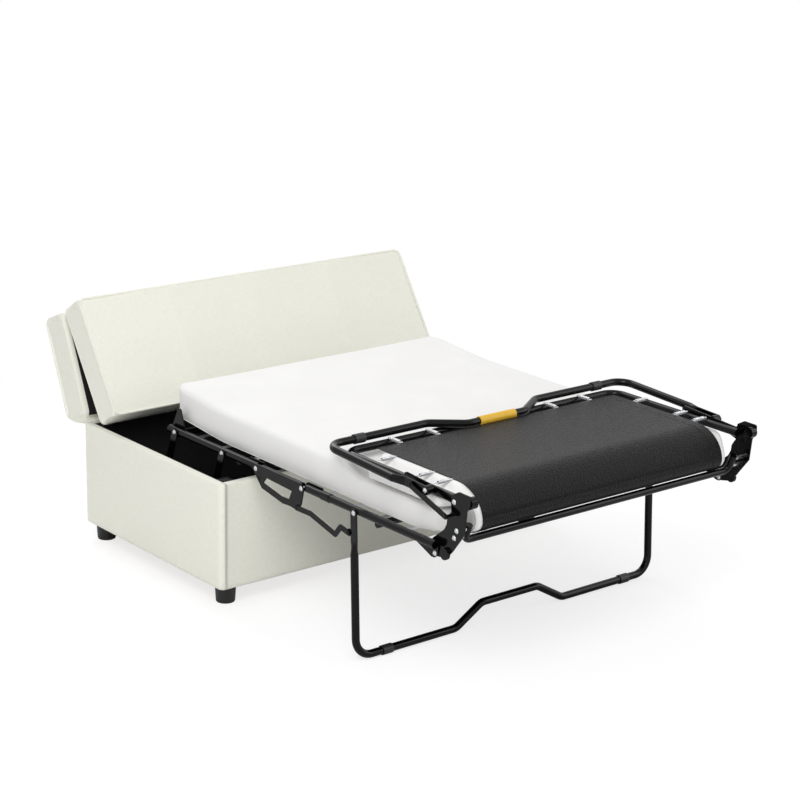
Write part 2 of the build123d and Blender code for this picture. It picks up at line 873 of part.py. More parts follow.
def bent_leg(pivot, direction, half_width, tongue_x, length, corner, notch_rise, stud, stud_x):
    """A U of bent tube with a raised middle and flattened ends, seen in its own plane.

    direction is the (y, z) way from the pivots to the base. stud is the (y, z) of a pin on
    each side that reaches out to stud_x.
    """
    plane = Plane(
        origin=(0, pivot[0], pivot[1]),
        x_dir=(1, 0, 0),
        z_dir=(0, -direction[1], direction[0]),
    )
    points = (
        (-half_width, tongue_run + flatten_run),
        (-half_width, length),
        (-notch_low_x, length),
        (-notch_high_x, length - notch_rise),
        (notch_high_x, length - notch_rise),
        (notch_low_x, length),
        (half_width, length),
        (half_width, tongue_run + flatten_run),
    )
    with BuildPart() as leg:
        with BuildLine(plane) as path:
            FilletPolyline(
                *points,
                radius=[corner, notch_radius, notch_radius, notch_radius, notch_radius, corner],
            )
        with BuildSketch(Plane(origin=path.line @ 0, z_dir=path.line % 0)):
            Circle(leg_radius)
        sweep()
        for side in (-1, 1):
            tube_end = toward(pivot, direction, tongue_run + flatten_run)
            tongue_end = toward(pivot, direction, tongue_run)
            away = (0, direction[0], direction[1])
            with BuildSketch(
                Plane(origin=(side * half_width, *tube_end), x_dir=(1, 0, 0), z_dir=away)
            ):
                Circle(leg_radius)
            with BuildSketch(
                Plane(
                    origin=(side * (tongue_x + plate_thickness / 2), *tongue_end),
                    x_dir=(1, 0, 0),
                    z_dir=away,
                )
            ):
                Rectangle(plate_thickness, tongue_width)
            loft()
            with BuildSketch(
                Plane(
                    origin=(side * tongue_x, *pivot),
                    x_dir=away,
                    z_dir=(side, 0, 0),
                )
            ):
                Circle(tongue_width / 2)
                with Locations((tongue_run / 2, 0)):
                    Rectangle(tongue_run, tongue_width)
                Circle(pin_radius + pin_clearance, mode=Mode.SUBTRACT)
            extrude(amount=plate_thickness)
            with BuildSketch(side_plane(side * tongue_x)):
                with Locations(stud):
                    Circle(lug_radius)
            extrude(amount=side * plate_thickness)
            with BuildSketch(side_plane(side * (tongue_x + plate_thickness))):
                with Locations(stud):
                    Circle(pin_radius)
            extrude(amount=side * (stud_x - tongue_x - plate_thickness))
            with Locations((side * (stud_x + head_rise / 2), *stud)):
                Cone(head_radius, head_radius * head_taper_share, head_rise, rotation=(0, side * 90, 0))
    return leg


leg_base = (front_y - leg_base_reach, glide_radius)
leg_length = hypot(leg_base[0] - leg_pivot[0], leg_base[1] - leg_pivot[1])
leg_direction = (
    (leg_base[0] - leg_pivot[0]) / leg_length,
    (leg_base[1] - leg_pivot[1]) / leg_length,
)
front_leg = bent_leg(
    leg_pivot,
    leg_direction,
    leg_x,
    layer_one,
    leg_length,
    leg_corner_radius,
    leg_notch_rise,
    brace_on_leg,
    layer_three + rivet_gap,
)
keep(front_leg, "front_leg")


def glide_rings(base, reach_x):
    """Plastic sleeves round the base tube of a leg."""
    for side in (-1, 1):
        with BuildSketch(side_plane(side * reach_x - glide_length / 2)) as ring:
            with Locations(base):
                Circle(glide_radius)
                Circle(leg_radius, mode=Mode.SUBTRACT)
        extrude(ring.sketch, amount=glide_length)


with BuildPart() as front_leg_glides:
    glide_rings(leg_base, glide_x)
keep(front_leg_glides, "front_leg_glides")

# Dog-legged braces from the fold links to the leg
brace_run = brace_on_link[0] - brace_on_leg[0]
brace_line = [brace_on_link]
for along, drop in brace_shares:
    brace_line.append(
        (
            brace_on_link[0] - along * brace_run,
            brace_on_link[1] + along * (brace_on_leg[1] - brace_on_link[1]) + drop * brace_drop,
        )
    )
brace_line.append(brace_on_leg)
for side, side_name in side_names:
    with BuildPart() as front_brace:
        with BuildSketch(side_plane(side * layer_two)):
            for first, second in zip(brace_line, brace_line[1:]):
                middle = ((first[0] + second[0]) / 2, (first[1] + second[1]) / 2)
                run = (second[0] - first[0], second[1] - first[1])
                angle = degrees(atan2(run[1], run[0]))
                with Locations(Location((*middle, 0), (0, 0, angle))):
                    SlotCenterToCenter(hypot(*run), brace_width)
            with Locations(brace_on_leg):
                Circle(pin_radius + pin_clearance, mode=Mode.SUBTRACT)
        extrude(amount=side * plate_thickness)
        with Locations((side * (layer_three + head_rise / 2), *brace_on_link)):
            Cone(head_radius, head_radius * head_taper_share, head_rise, rotation=(0, side * 90, 0))
    keep(front_brace, f"front_brace_{side_name}")

# Hinge plates of the foot fold, with their bosses
bar_z = rail_z + bar_rise
bar_rivets = [
    (front_y - bar_reach - share * bar_end_step, bar_z + share * bar_end_rise)
    for share in bar_rivet_shares
]


def on_hinge_plate(along, outboard):
    """The (y, z) point at shares of the plate's pivot distance."""
    return toward(fold_pivot, plate_up, along * plate_run, -outboard * plate_run)


for side, side_name in side_names:
    with BuildPart() as hinge_plate:
        with BuildSketch(side_plane(side * hinge_inner)) as outline:
            with BuildLine():
                Polyline(*[on_hinge_plate(*share) for share in hinge_outline_shares], close=True)
            make_face()
            fillet(outline.vertices(), hinge_fillet_share * plate_run)
            for pivot in (fold_pivot, foot_pivot):
                with Locations(pivot):
                    Circle(pin_radius + pin_clearance, mode=Mode.SUBTRACT)
            for place in bar_rivets:
                with Locations(place):
                    Circle(pin_radius, mode=Mode.SUBTRACT)
        extrude(amount=side * plate_thickness)
        with BuildSketch(side_plane(side * hinge_inner)):
            with Locations(on_hinge_plate(*top_boss_shares)):
                Circle(boss_radius)
        extrude(amount=-side * top_boss_length)
        with BuildSketch(side_plane(side * hinge_outer)):
            with Locations(on_hinge_plate(*low_boss_shares)):
                Circle(boss_radius)
        extrude(amount=side * low_boss_length)
        with BuildSketch(side_plane(side * hinge_outer)):
            with Locations(foot_brace_plate):
                Circle(pin_radius)
        extrude(amount=side * (foot_brace_x - hinge_outer - rivet_gap))
    keep(hinge_plate, f"hinge_plate_{side_name}")

# Front bar, its ends turned up and riveted to the hinge plates
bar_turn = hypot(bar_end_step, bar_end_rise)
bar_plane = Plane(
    origin=(0, front_y - bar_reach, bar_z),
    x_dir=(1, 0, 0),
    z_dir=(0, -bar_end_rise, -bar_end_step),
)
with BuildPart() as front_bar:
    with BuildLine(bar_plane) as path:
        FilletPolyline(
            (-bar_x, bar_turn),
            (-bar_x, 0),
            (bar_x, 0),
            (bar_x, bar_turn),
            radius=bar_corner_radius,
        )
    with BuildSketch(Plane(origin=path.line @ 0, z_dir=path.line % 0)):
        Circle(bar_radius)
    sweep()
keep(front_bar, "front_bar")

with BuildPart() as hinge_rivets:
    for place in bar_rivets:
        pivot_pins(place, bar_x + bar_radius, hinge_outer)
        for side in (-1, 1):
            with Locations((side * (bar_x + bar_radius + hinge_inner) / 2, *place)):
                Cylinder(
                    bar_spacer_radius, hinge_inner - bar_x - bar_radius, rotation=(0, 90, 0)
                )
keep(hinge_rivets, "hinge_rivets")

# Foot section: a U of tube with a flat arm on each side
foot_start = front_y - foot_start_reach
foot_end = front_y - foot_end_reach
with BuildPart() as foot_frame:
    with BuildLine(Plane.XY.offset(foot_rail_z)) as path:
        FilletPolyline(
            (-foot_rail_x, foot_start),
            (-foot_rail_x, foot_end),
            (foot_rail_x, foot_end),
            (foot_rail_x, foot_start),
            radius=foot_corner_radius,
        )
    with BuildSketch(Plane(origin=path.line @ 0, z_dir=path.line % 0)):
        Circle(rail_radius)
    sweep()
    for side in (-1, 1):
        arm_slope = foot_leg_pivot_rise / foot_leg_pivot_run
        with BuildSketch(
            Plane(
                origin=(side * foot_arm_x, *foot_pivot),
                x_dir=(0, 1, arm_slope),
                z_dir=(side, 0, 0),
            )
        ):
            with Locations((foot_arm_run / 2, 0)):
                SlotCenterToCenter(foot_arm_run, foot_arm_width)
        extrude(amount=plate_thickness)
        with BuildSketch(side_plane(side * (foot_arm_x + plate_thickness))):
            with Locations(foot_pivot):
                Circle(foot_boss_radius)
        extrude(amount=side * (hinge_inner - rivet_gap - foot_arm_x - plate_thickness))
        with BuildSketch(side_plane(side * (foot_arm_x + plate_thickness))):
            with Locations(foot_leg_pivot):
                Circle(foot_boss_radius)
        extrude(amount=side * foot_spacer_length)
keep(foot_frame, "foot_frame")

with BuildPart() as foot_rivets:
    pivot_pins(foot_pivot, hinge_inner - rivet_gap, hinge_outer + rivet_gap)
    pivot_pins(
        foot_leg_pivot, foot_tongue_x - layer_gap, foot_tongue_x + plate_thickness + rivet_gap
    )
keep(foot_rivets, "foot_rivets")

foot_leg_length = hypot(foot_leg_run, foot_leg_rise)
foot_leg_direction = (foot_leg_run / foot_leg_length, foot_leg_rise / foot_leg_length)
foot_brace_leg = toward(foot_leg_pivot, foot_leg_direction, foot_brace_crank)
foot_leg = bent_leg(
    foot_leg_pivot,
    foot_leg_direction,
    foot_leg_x,
    foot_tongue_x,
    foot_leg_length,
    foot_leg_corner_radius,
    foot_notch_rise,
    foot_brace_leg,
    foot_brace_x + plate_thickness + rivet_gap,
)
keep(foot_leg, "foot_leg")

with BuildPart() as foot_leg_glides:
    glide_rings(toward(foot_leg_pivot, foot_leg_direction, foot_leg_length), foot_glide_x)
keep(foot_leg_glides, "foot_leg_glides")

# Plain sleeve on the raised middle of the foot leg, where a hand pulls it
with BuildPart() as pull_sleeve:
    with BuildSketch(side_plane(-grip_length / 2)):
        with Locations(
            toward(foot_leg_pivot, foot_leg_direction, foot_leg_length - foot_notch_rise)
        ):
            Circle(leg_radius + grip_wall)
            Circle(leg_radius, mode=Mode.SUBTRACT)
    extrude(amount=grip_length)
keep(pull_sleeve, "pull_sleeve")

# Flat bars that turn the foot leg as the section unfolds
foot_brace_run = (
    foot_brace_leg[0] - foot_brace_plate[0],
    foot_brace_leg[1] - foot_brace_plate[1],
)
foot_brace_length = hypot(*foot_brace_run)
with BuildPart() as foot_braces:
    for side in (-1, 1):
        middle = (
            (foot_brace_leg[0] + foot_brace_plate[0]) / 2,
            (foot_brace_leg[1] + foot_brace_plate[1]) / 2,
        )
        with BuildSketch(
            Plane(
                origin=(side * foot_brace_x, *middle),
                x_dir=(0, *foot_brace_run),
                z_dir=(side, 0, 0),
            )
        ):
            SlotCenterToCenter(foot_brace_length, brace_width)
            with Locations((foot_brace_length / 2, 0)):
                Circle(pin_radius + pin_clearance, mode=Mode.SUBTRACT)
        extrude(amount=plate_thickness)
        with Locations(
            (side * (foot_brace_x + plate_thickness + head_rise / 2), *foot_brace_plate)
        ):
            Cone(head_radius, head_radius * head_taper_share, head_rise, rotation=(0, side * 90, 0))
keep(foot_braces, "foot_braces")


def deck_sheet(start, end, half_width, level):
    """A flat deck cloth from start back to end, its corners cut off."""
    with BuildPart() as deck:
        with BuildSketch(Plane.XY.offset(level)) as outline:
            with Locations((0, (start + end) / 2)):
                Rectangle(2 * half_width, end - start)
            chamfer(outline.vertices(), deck_corner)
        extrude(amount=deck_thickness)
    return deck


head_deck_front = front_y - head_mattress_reach + pivot_stop
head_deck_back = front_y + head_cross_back - cross_radius
mid_deck_rear = front_y - mid_mattress_reach
mid_deck_front = front_y - fold_mattress_reach + cross_radius
keep(deck_sheet(head_deck_front, head_deck_back, deck_half_width, deck_z), "head_deck")
keep(deck_sheet(mid_deck_front, mid_deck_rear, deck_half_width, deck_z), "mid_deck")
keep(
    deck_sheet(
        link_front[0] + pivot_stop, link_rear[0] - pivot_stop, deck_half_width, deck_z
    ),
    "fold_link_deck",
)
spring_z = foot_deck_z + deck_thickness / 2
spring_seat = spring_z - spring_radius - foot_rail_z
rail_face = foot_rail_x - sqrt(rail_radius**2 - spring_seat**2)
spring_run = rail_face - deck_half_width
foot_deck_end = foot_end - (foot_rail_x - rail_face) - spring_run
foot_deck = deck_sheet(front_y - fold_deck_reach, foot_deck_end, deck_half_width, foot_deck_z)
keep(foot_deck, "foot_deck")


def hidden_springs(places):
    """Plain springs under the edge of a deck, each side, at the given Y."""
    inner = deck_half_width - hidden_spring_lap
    with BuildPart() as springs:
        for side in (-1, 1):
            with BuildSketch(side_plane(side * inner)):
                for y in places:
                    with Locations((y, deck_z - hidden_spring_radius)):
                        Circle(hidden_spring_radius)
            extrude(amount=side * (rail_x - rail_radius - inner))
    return springs


head_deck_run = head_deck_back - head_deck_front
mid_deck_run = mid_deck_rear - mid_deck_front
keep(
    hidden_springs([head_deck_front + share * head_deck_run for share in head_spring_shares]),
    "head_springs",
)
keep(
    hidden_springs([mid_deck_front + share * mid_deck_run for share in mid_spring_shares]),
    "mid_springs",
)


# Springs between the foot deck and its frame, wound so close that they look like sleeves
with BuildPart() as spring:
    with BuildSketch(Plane.YZ.offset(rivet_gap)):
        Circle(spring_radius)
        Circle(spring_radius - spring_wire, mode=Mode.SUBTRACT)
    extrude(amount=spring_run - 2 * rivet_gap)

foot_deck_run = foot_deck_end - (front_y - fold_deck_reach)
side_places = [
    Location(
        (side * deck_half_width, foot_deck_end - share * foot_deck_run, spring_z),
        (0, 0, 90 - side * 90),
    )
    for side in (-1, 1)
    for share in foot_side_spring_shares
]
end_places = [
    Location((side * share * deck_half_width, foot_deck_end, spring_z), (0, 0, 90))
    for side in (-1, 1)
    for share in foot_end_spring_shares
]
with BuildPart() as foot_springs:
    with Locations(*side_places, *end_places):
        add(spring.part)
keep(foot_springs, "foot_springs")

# Mattress: head, folded and middle parts, and the foot part on top
with BuildPart() as mattress_head:
    with BuildSketch(Plane.XY.offset(mattress_z)) as outline:
        with Locations((0, front_y + (mattress_back - head_mattress_reach) / 2)):
            Rectangle(2 * mattress_half_width, mattress_back + head_mattress_reach)
        fillet(outline.vertices().group_by(Axis.Y)[-1], mattress_corner_radius)
    extrude(amount=mattress_height)
    top = mattress_head.faces().sort_by(Axis.Z)[-1]
    fillet(top.edges().sort_by(Axis.Y)[1:], mattress_edge_radius)
keep(mattress_head, "mattress_head")

with BuildPart() as mattress_bend:
    with BuildSketch(front_plane(front_y - head_mattress_reach - mattress_gap)) as outline:
        with Locations((0, mattress_z + mattress_height / 2)):
            Rectangle(2 * mattress_half_width, mattress_height)
        fillet(outline.vertices().group_by(Axis.Y)[-1], mattress_edge_radius)
    extrude(amount=mid_mattress_reach - head_mattress_reach - 2 * mattress_gap)
keep(mattress_bend, "mattress_bend")

mid_mattress_front = front_y - fold_mattress_reach
with BuildPart() as mattress_mid:
    with BuildSketch(side_plane(-mattress_half_width)):
        with BuildLine():
            Polyline(
                (mid_deck_rear, mattress_z),
                (mid_deck_rear, mattress_top_z),
                (front_y - press_start_reach, mattress_top_z),
                (front_y - press_end_reach, pressed_z),
                (mid_mattress_front, pressed_z),
                (mid_mattress_front, mattress_z),
                close=True,
            )
        make_face()
    extrude(amount=2 * mattress_half_width)
    fillet(
        mattress_mid.edges()
        .filter_by_position(Axis.X, -mattress_half_width, -mattress_half_width)
        .sort_by(Axis.Z)[-1:]
        + mattress_mid.edges()
        .filter_by_position(Axis.X, mattress_half_width, mattress_half_width)
        .sort_by(Axis.Z)[-1:],
        mattress_edge_radius,
    )
keep(mattress_mid, "mattress_mid")

foot_foam_rear = front_y - foot_mattress_end_reach
foot_foam_bottom = pressed_z + mattress_gap
shoulder_z = foot_rail_z - foot_shoulder_drop
with BuildPart() as mattress_foot:
    with BuildSketch(Plane.XY.offset(foot_foam_bottom)):
        with Locations((0, (mid_mattress_front + foot_foam_rear) / 2)):
            Rectangle(2 * mattress_half_width, foot_foam_rear - mid_mattress_front)
    extrude(amount=shoulder_z - foot_foam_bottom)
    with BuildSketch(Plane.XY.offset(foot_foam_bottom)):
        with Locations((0, (mid_mattress_front + foot_foam_rear) / 2)):
            Rectangle(2 * foot_shoulder_half_width, foot_foam_rear - mid_mattress_front)
    extrude(amount=foot_foam_top_z - foot_foam_bottom)
keep(mattress_foot, "mattress_foot")

# The folded end of the mattress and the deck cloth round it
fold_centre_y = front_y - fold_reach
foam_nose_run = nose_run - deck_thickness - mattress_gap
fold_height = foot_foam_top_z - fold_bottom_z


def nose_curve(offset):
    """Two quarter ellipses round the fold, standing off from the foam: top to bottom."""
    run = foam_nose_run + offset
    for start_angle, rise in ((90, foot_foam_top_z - nose_z), (180, nose_z - fold_bottom_z)):
        EllipticalCenterArc((fold_centre_y, nose_z), run, rise + offset, start_angle, arc_size=90)


with BuildPart() as mattress_fold:
    with BuildSketch(side_plane(-fold_half_width)):
        with BuildLine():
            nose_curve(0)
            Polyline(
                (fold_centre_y, fold_bottom_z),
                (mid_mattress_front - mattress_gap, fold_bottom_z),
                (mid_mattress_front - mattress_gap, foot_foam_top_z),
                (fold_centre_y, foot_foam_top_z),
            )
        make_face()
    extrude(amount=2 * fold_half_width)
    with BuildSketch(front_plane(fold_centre_y + fold_reach)):
        with Locations((0, fold_bottom_z + fold_height / 2)):
            RectangleRounded(2 * fold_half_width, fold_height, fold_edge_radius)
    extrude(amount=2 * fold_reach, mode=Mode.INTERSECT)
keep(mattress_fold, "mattress_fold")

fold_deck_lap = front_y - fold_deck_reach - mattress_gap
skin_inner = mattress_gap
skin_outer = mattress_gap + deck_thickness
with BuildPart() as fold_deck:
    with BuildSketch(side_plane(-deck_half_width)):
        with BuildLine():
            nose_curve(skin_inner)
            Polyline(
                (fold_centre_y, fold_bottom_z - skin_inner),
                (fold_deck_lap, fold_bottom_z - skin_inner),
                (fold_deck_lap, fold_bottom_z - skin_outer),
                (fold_centre_y, fold_bottom_z - skin_outer),
            )
            nose_curve(skin_outer)
            Polyline(
                (fold_centre_y, foot_foam_top_z + skin_outer),
                (fold_deck_lap, foot_foam_top_z + skin_outer),
                (fold_deck_lap, foot_foam_top_z + skin_inner),
                (fold_centre_y, foot_foam_top_z + skin_inner),
            )
        make_face()
    extrude(amount=2 * deck_half_width)
keep(fold_deck, "fold_deck")
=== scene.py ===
"""The looks of a half-open storage sofa bed, piece by piece, in the order it is put together."""

import json
import math

import bmesh
import bpy
import numpy as np
from mathutils import Matrix, Vector


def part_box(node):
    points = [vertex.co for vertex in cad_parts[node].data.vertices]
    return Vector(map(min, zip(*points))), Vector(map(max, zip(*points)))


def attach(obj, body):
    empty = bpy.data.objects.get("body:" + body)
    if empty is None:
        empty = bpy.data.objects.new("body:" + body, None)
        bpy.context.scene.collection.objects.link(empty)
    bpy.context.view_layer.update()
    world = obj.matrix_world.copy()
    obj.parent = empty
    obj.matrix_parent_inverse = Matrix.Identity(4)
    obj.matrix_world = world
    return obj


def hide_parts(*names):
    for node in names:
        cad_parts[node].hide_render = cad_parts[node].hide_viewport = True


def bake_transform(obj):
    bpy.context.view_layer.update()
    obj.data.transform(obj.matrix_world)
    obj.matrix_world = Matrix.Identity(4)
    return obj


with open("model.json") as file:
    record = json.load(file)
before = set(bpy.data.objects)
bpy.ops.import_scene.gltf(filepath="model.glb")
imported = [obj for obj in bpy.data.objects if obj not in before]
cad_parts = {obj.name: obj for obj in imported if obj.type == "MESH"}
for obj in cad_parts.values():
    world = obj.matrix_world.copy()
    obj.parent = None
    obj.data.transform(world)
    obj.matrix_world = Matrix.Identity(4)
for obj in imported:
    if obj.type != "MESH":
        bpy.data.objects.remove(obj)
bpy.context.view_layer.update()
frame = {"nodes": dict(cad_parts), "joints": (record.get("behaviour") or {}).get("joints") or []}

# Camera, floor and light
# The camera stands high at the front left, as the photograph's did. The floor is pale paper with
# a weak shadow, and it fades to plain white further out. Three wide lamps and a pale sky light the
# bed softly and draw long highlights on its tubes.
box_low, box_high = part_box("box_cover")
front_y = box_low.y
camera_place = (-3.687, front_y - 4.5266, 2.218)
camera_yaw = math.radians(39.2626)
camera_pitch = math.radians(-16.5175)
camera_roll = math.radians(1.1871)
camera_lens = 97.93
sky_strength = 0.42
floor_half = 14.0
floor_glow_strength = 0.74
shadow_share = 0.36
shadow_reach = 0.9
white_reach = 2.3

forward = Vector(
    (
        math.sin(camera_yaw) * math.cos(camera_pitch),
        math.cos(camera_yaw) * math.cos(camera_pitch),
        math.sin(camera_pitch),
    )
)
level_right = Vector((math.cos(camera_yaw), -math.sin(camera_yaw), 0))
level_up = level_right.cross(forward)
right = level_right * math.cos(camera_roll) + level_up * math.sin(camera_roll)
up = level_up * math.cos(camera_roll) - level_right * math.sin(camera_roll)
camera_data = bpy.data.cameras.new("camera")
camera_data.lens = camera_lens
camera_data.sensor_width = 36
camera_data.clip_end = 50
camera = bpy.data.objects.new("camera", camera_data)
camera.matrix_world = Matrix.Translation(camera_place) @ Matrix(
    (right, up, -forward)
).transposed().to_4x4()
bpy.context.collection.objects.link(camera)
bpy.context.scene.camera = camera
bpy.context.scene.view_settings.view_transform = "Standard"


def linear(colour):
    """An sRGB hex colour as linear RGBA, by the sRGB curve."""
    channels = [int(colour[place : place + 2], 16) / 255 for place in (1, 3, 5)]
    return [c / 12.92 if c <= 0.04045 else ((c + 0.055) / 1.055) ** 2.4 for c in channels] + [1]


def add_node(tree, kind, inputs=None, **settings):
    """Add a node, set its properties, and fill its inputs with values or with links."""
    made = tree.nodes.new(kind)
    for name, value in settings.items():
        setattr(made, name, value)
    for name, value in (inputs or {}).items():
        if isinstance(value, bpy.types.NodeSocket):
            tree.links.new(value, made.inputs[name])
        else:
            made.inputs[name].default_value = value
    return made


def new_material(name, **values):
    """A material with its shader's plain values set; returns it, its tree and the shader."""
    material = bpy.data.materials.new(name)
    material.use_nodes = True
    shader = material.node_tree.nodes["Principled BSDF"]
    for socket, value in values.items():
        shader.inputs[socket.replace("_", " ")].default_value = value
    return material, material.node_tree, shader


def add_lamp(name, place, aim, size, power):
    """A square soft box at place that shines at aim."""
    data = bpy.data.lights.new(name, "AREA")
    data.size = size
    data.energy = power
    lamp = bpy.data.objects.new(name, data)
    lamp.location = place
    lamp.rotation_euler = (Vector(aim) - Vector(place)).to_track_quat("-Z", "Y").to_euler()
    bpy.context.collection.objects.link(lamp)


bed_middle = (0.0, 0.0, 0.3)
add_lamp("key_lamp", (-2.6, -2.2, 3.4), bed_middle, 2.4, 105)
add_lamp("fill_lamp", (3.2, -2.6, 2.2), bed_middle, 2.8, 45)
add_lamp("back_lamp", (0.6, 3.0, 3.2), bed_middle, 2.6, 60)

sky = bpy.data.worlds.new("studio")
sky.use_nodes = True
sky_tree = sky.node_tree
sky_tree.nodes.clear()
ray = add_node(sky_tree, "ShaderNodeLightPath")
seen = add_node(
    sky_tree,
    "ShaderNodeMath",
    {0: ray.outputs["Is Camera Ray"], 1: ray.outputs["Is Glossy Ray"]},
    operation="MAXIMUM",
)
dim_sky = add_node(
    sky_tree, "ShaderNodeBackground", {"Color": linear("#F4F5F7"), "Strength": sky_strength}
)
white_sky = add_node(sky_tree, "ShaderNodeBackground", {"Color": (1, 1, 1, 1), "Strength": 1.0})
sky_mix = add_node(
    sky_tree,
    "ShaderNodeMixShader",
    {0: seen.outputs[0], 1: dim_sky.outputs[0], 2: white_sky.outputs[0]},
)
add_node(sky_tree, "ShaderNodeOutputWorld", {"Surface": sky_mix.outputs[0]})
bpy.context.scene.world = sky

floor_mesh = bpy.data.meshes.new("floor")
floor_mesh.from_pydata(
    [
        (-floor_half, -floor_half, 0),
        (floor_half, -floor_half, 0),
        (floor_half, floor_half, 0),
        (-floor_half, floor_half, 0),
    ],
    [],
    [(0, 1, 2, 3)],
)
floor = bpy.data.objects.new("floor", floor_mesh)
bpy.context.collection.objects.link(floor)
floor_paper, floor_tree, floor_shader = new_material(
    "white_paper", Base_Color=linear("#F7F7F7"), Roughness=0.9
)
floor_glow = add_node(
    floor_tree, "ShaderNodeEmission", {"Color": (1, 1, 1, 1), "Strength": floor_glow_strength}
)
floor_shadow = add_node(
    floor_tree, "ShaderNodeMixShader", {0: shadow_share, 2: floor_shader.outputs[0]}
)
floor_sum = add_node(
    floor_tree, "ShaderNodeAddShader", {0: floor_shadow.outputs[0], 1: floor_glow.outputs[0]}
)
floor_ray = add_node(floor_tree, "ShaderNodeLightPath")
floor_place = add_node(floor_tree, "ShaderNodeNewGeometry")
floor_distance = add_node(
    floor_tree, "ShaderNodeVectorMath", {0: floor_place.outputs["Position"]}, operation="LENGTH"
)
floor_fade = add_node(
    floor_tree,
    "ShaderNodeMapRange",
    {
        "Value": floor_distance.outputs["Value"],
        "From Min": shadow_reach,
        "From Max": white_reach,
    },
    interpolation_type="SMOOTHSTEP",
)
floor_white = add_node(
    floor_tree, "ShaderNodeEmission", {"Color": (1, 1, 1, 1), "Strength": 1.0}
)
floor_seen = add_node(
    floor_tree,
    "ShaderNodeMixShader",
    {0: floor_fade.outputs[0], 1: floor_sum.outputs[0], 2: floor_white.outputs[0]},
)
floor_mix = add_node(
    floor_tree,
    "ShaderNodeMixShader",
    {
        0: floor_ray.outputs["Is Camera Ray"],
        1: floor_shader.outputs[0],
        2: floor_seen.outputs[0],
    },
)
floor_tree.links.new(floor_mix.outputs[0], floor_tree.nodes["Material Output"].inputs["Surface"])
floor_mesh.materials.append(floor_paper)


# Plywood box
# Bare birch plywood panels, glued and screwed to corner posts on a floor board. They only show
# where the cover ends, so the wood has its face veneer and broad stripes for its layers.
layer_pitch = 0.01885
wave_bands = 20


def mix_colours(tree, share, first, second):
    """A blend of two colours, hex or sockets, by a share from 0 to 1; returns its socket."""
    ends = [linear(end) if isinstance(end, str) else end for end in (first, second)]
    mixed = add_node(tree, "ShaderNodeMix", {0: share, 6: ends[0], 7: ends[1]}, data_type="RGBA")
    return mixed.outputs[2]


def roughen(tree, shader, height, strength, depth):
    """Give a shader a bumpy surface of this strength and depth."""
    bump = add_node(
        tree, "ShaderNodeBump", {"Height": height, "Strength": strength, "Distance": depth}
    )
    tree.links.new(bump.outputs[0], shader.inputs["Normal"])


plywood, tree, shader = new_material("birch_plywood", Roughness=0.55)
places = add_node(tree, "ShaderNodeTexCoord")
layers = add_node(
    tree,
    "ShaderNodeTexWave",
    {
        "Vector": places.outputs["Object"],
        "Scale": 2 * math.pi / (wave_bands * layer_pitch),
        "Distortion": 2.0,
        "Detail": 2.0,
    },
    bands_direction="Z",
)
grain = add_node(
    tree,
    "ShaderNodeTexNoise",
    {"Vector": places.outputs["Object"], "Scale": 38.0, "Detail": 6.0, "Distortion": 0.6},
)
veneer = mix_colours(tree, grain.outputs[0], "#C9A877", "#A98454")
ply_colour = mix_colours(tree, layers.outputs[0], veneer, "#B8935F")
tree.links.new(ply_colour, shader.inputs["Base Color"])
roughen(tree, shader, grain.outputs[0], 0.25, 0.0006)


def finish_nodes(material, *names):
    """Give CAD nodes that stay their finish."""
    for name in names:
        slots = frame["nodes"][name].data.materials
        slots.clear()
        slots.append(material)


finish_nodes(
    plywood,
    "box_floor",
    "box_front_panel",
    "box_back_panel",
    "box_left_panel",
    "box_right_panel",
)

# Box cover
# Ivory polyester linen over thin wadding, pulled round the four walls, folded over the rim and
# stapled inside and under the box. It is sewn up beside each corner, where the cloth dips a little.
cover_skin = 0.0046
cover_corner = 0.016
cover_puff = 0.0030
cover_step = 0.010
cover_rows = 30
cover_foot = 0.003
cover_edge = 0.002
seam_from_corner = 0.030
seam_dip = 0.0006
seam_reach = 0.004
swell_reach = 0.12
swell_power = 0.6
puff_mean = 0.75
puff_ripple = 0.35
least_step = 0.0015
rim_round = 0.0052
rim_steps = 5
rim_gap = 0.0004
rim_tuck = 0.0010


def new_piece(name, points, faces, uvs=None, seams=None):
    """A mesh object from points, quads, loop UVs in metres and a seam value at each point, painted as
    shade.
    """
    mesh = bpy.data.meshes.new(name)
    mesh.from_pydata(points.tolist(), [], faces.tolist())
    if uvs is not None:
        layer = mesh.uv_layers.new(name="cloth")
        layer.data.foreach_set("uv", uvs.astype(np.float32).ravel())
    if seams is not None:
        attribute = mesh.attributes.new("seam", "FLOAT", "POINT")
        attribute.data.foreach_set("value", seams.astype(np.float32))
    mesh.polygons.foreach_set("use_smooth", np.ones(len(mesh.polygons), bool))
    mesh.update()
    piece = bpy.data.objects.new(name, mesh)
    bpy.context.collection.objects.link(piece)
    return piece


def grid_faces(rows, columns, close_rows=False, close_columns=False):
    """Quads of a grid of points, row after row, joined to itself where it closes."""
    row = np.arange(rows if close_rows else rows - 1)
    column = np.arange(columns if close_columns else columns - 1)
    r, c = [a.ravel() for a in np.meshgrid(row, column, indexing="ij")]
    r_next, c_next = (r + 1) % rows, (c + 1) % columns
    corners = (r * columns + c, r * columns + c_next, r_next * columns + c_next, r_next * columns + c)
    return np.stack(corners, axis=1)


def grid_uvs(rows, columns, close_rows=False, close_columns=False, row_places=None, column_places=None):
    """Loop UVs of that grid in metres: the places of its rows and columns, one more where it closes."""
    row = np.arange(rows if close_rows else rows - 1)
    column = np.arange(columns if close_columns else columns - 1)
    r, c = [a.ravel() for a in np.meshgrid(row, column, indexing="ij")]
    u = np.stack([column_places[c], column_places[c + 1], column_places[c + 1], column_places[c]], axis=1)
    v = np.stack([row_places[r], row_places[r], row_places[r + 1], row_places[r + 1]], axis=1)
    return np.stack([u, v], axis=2)


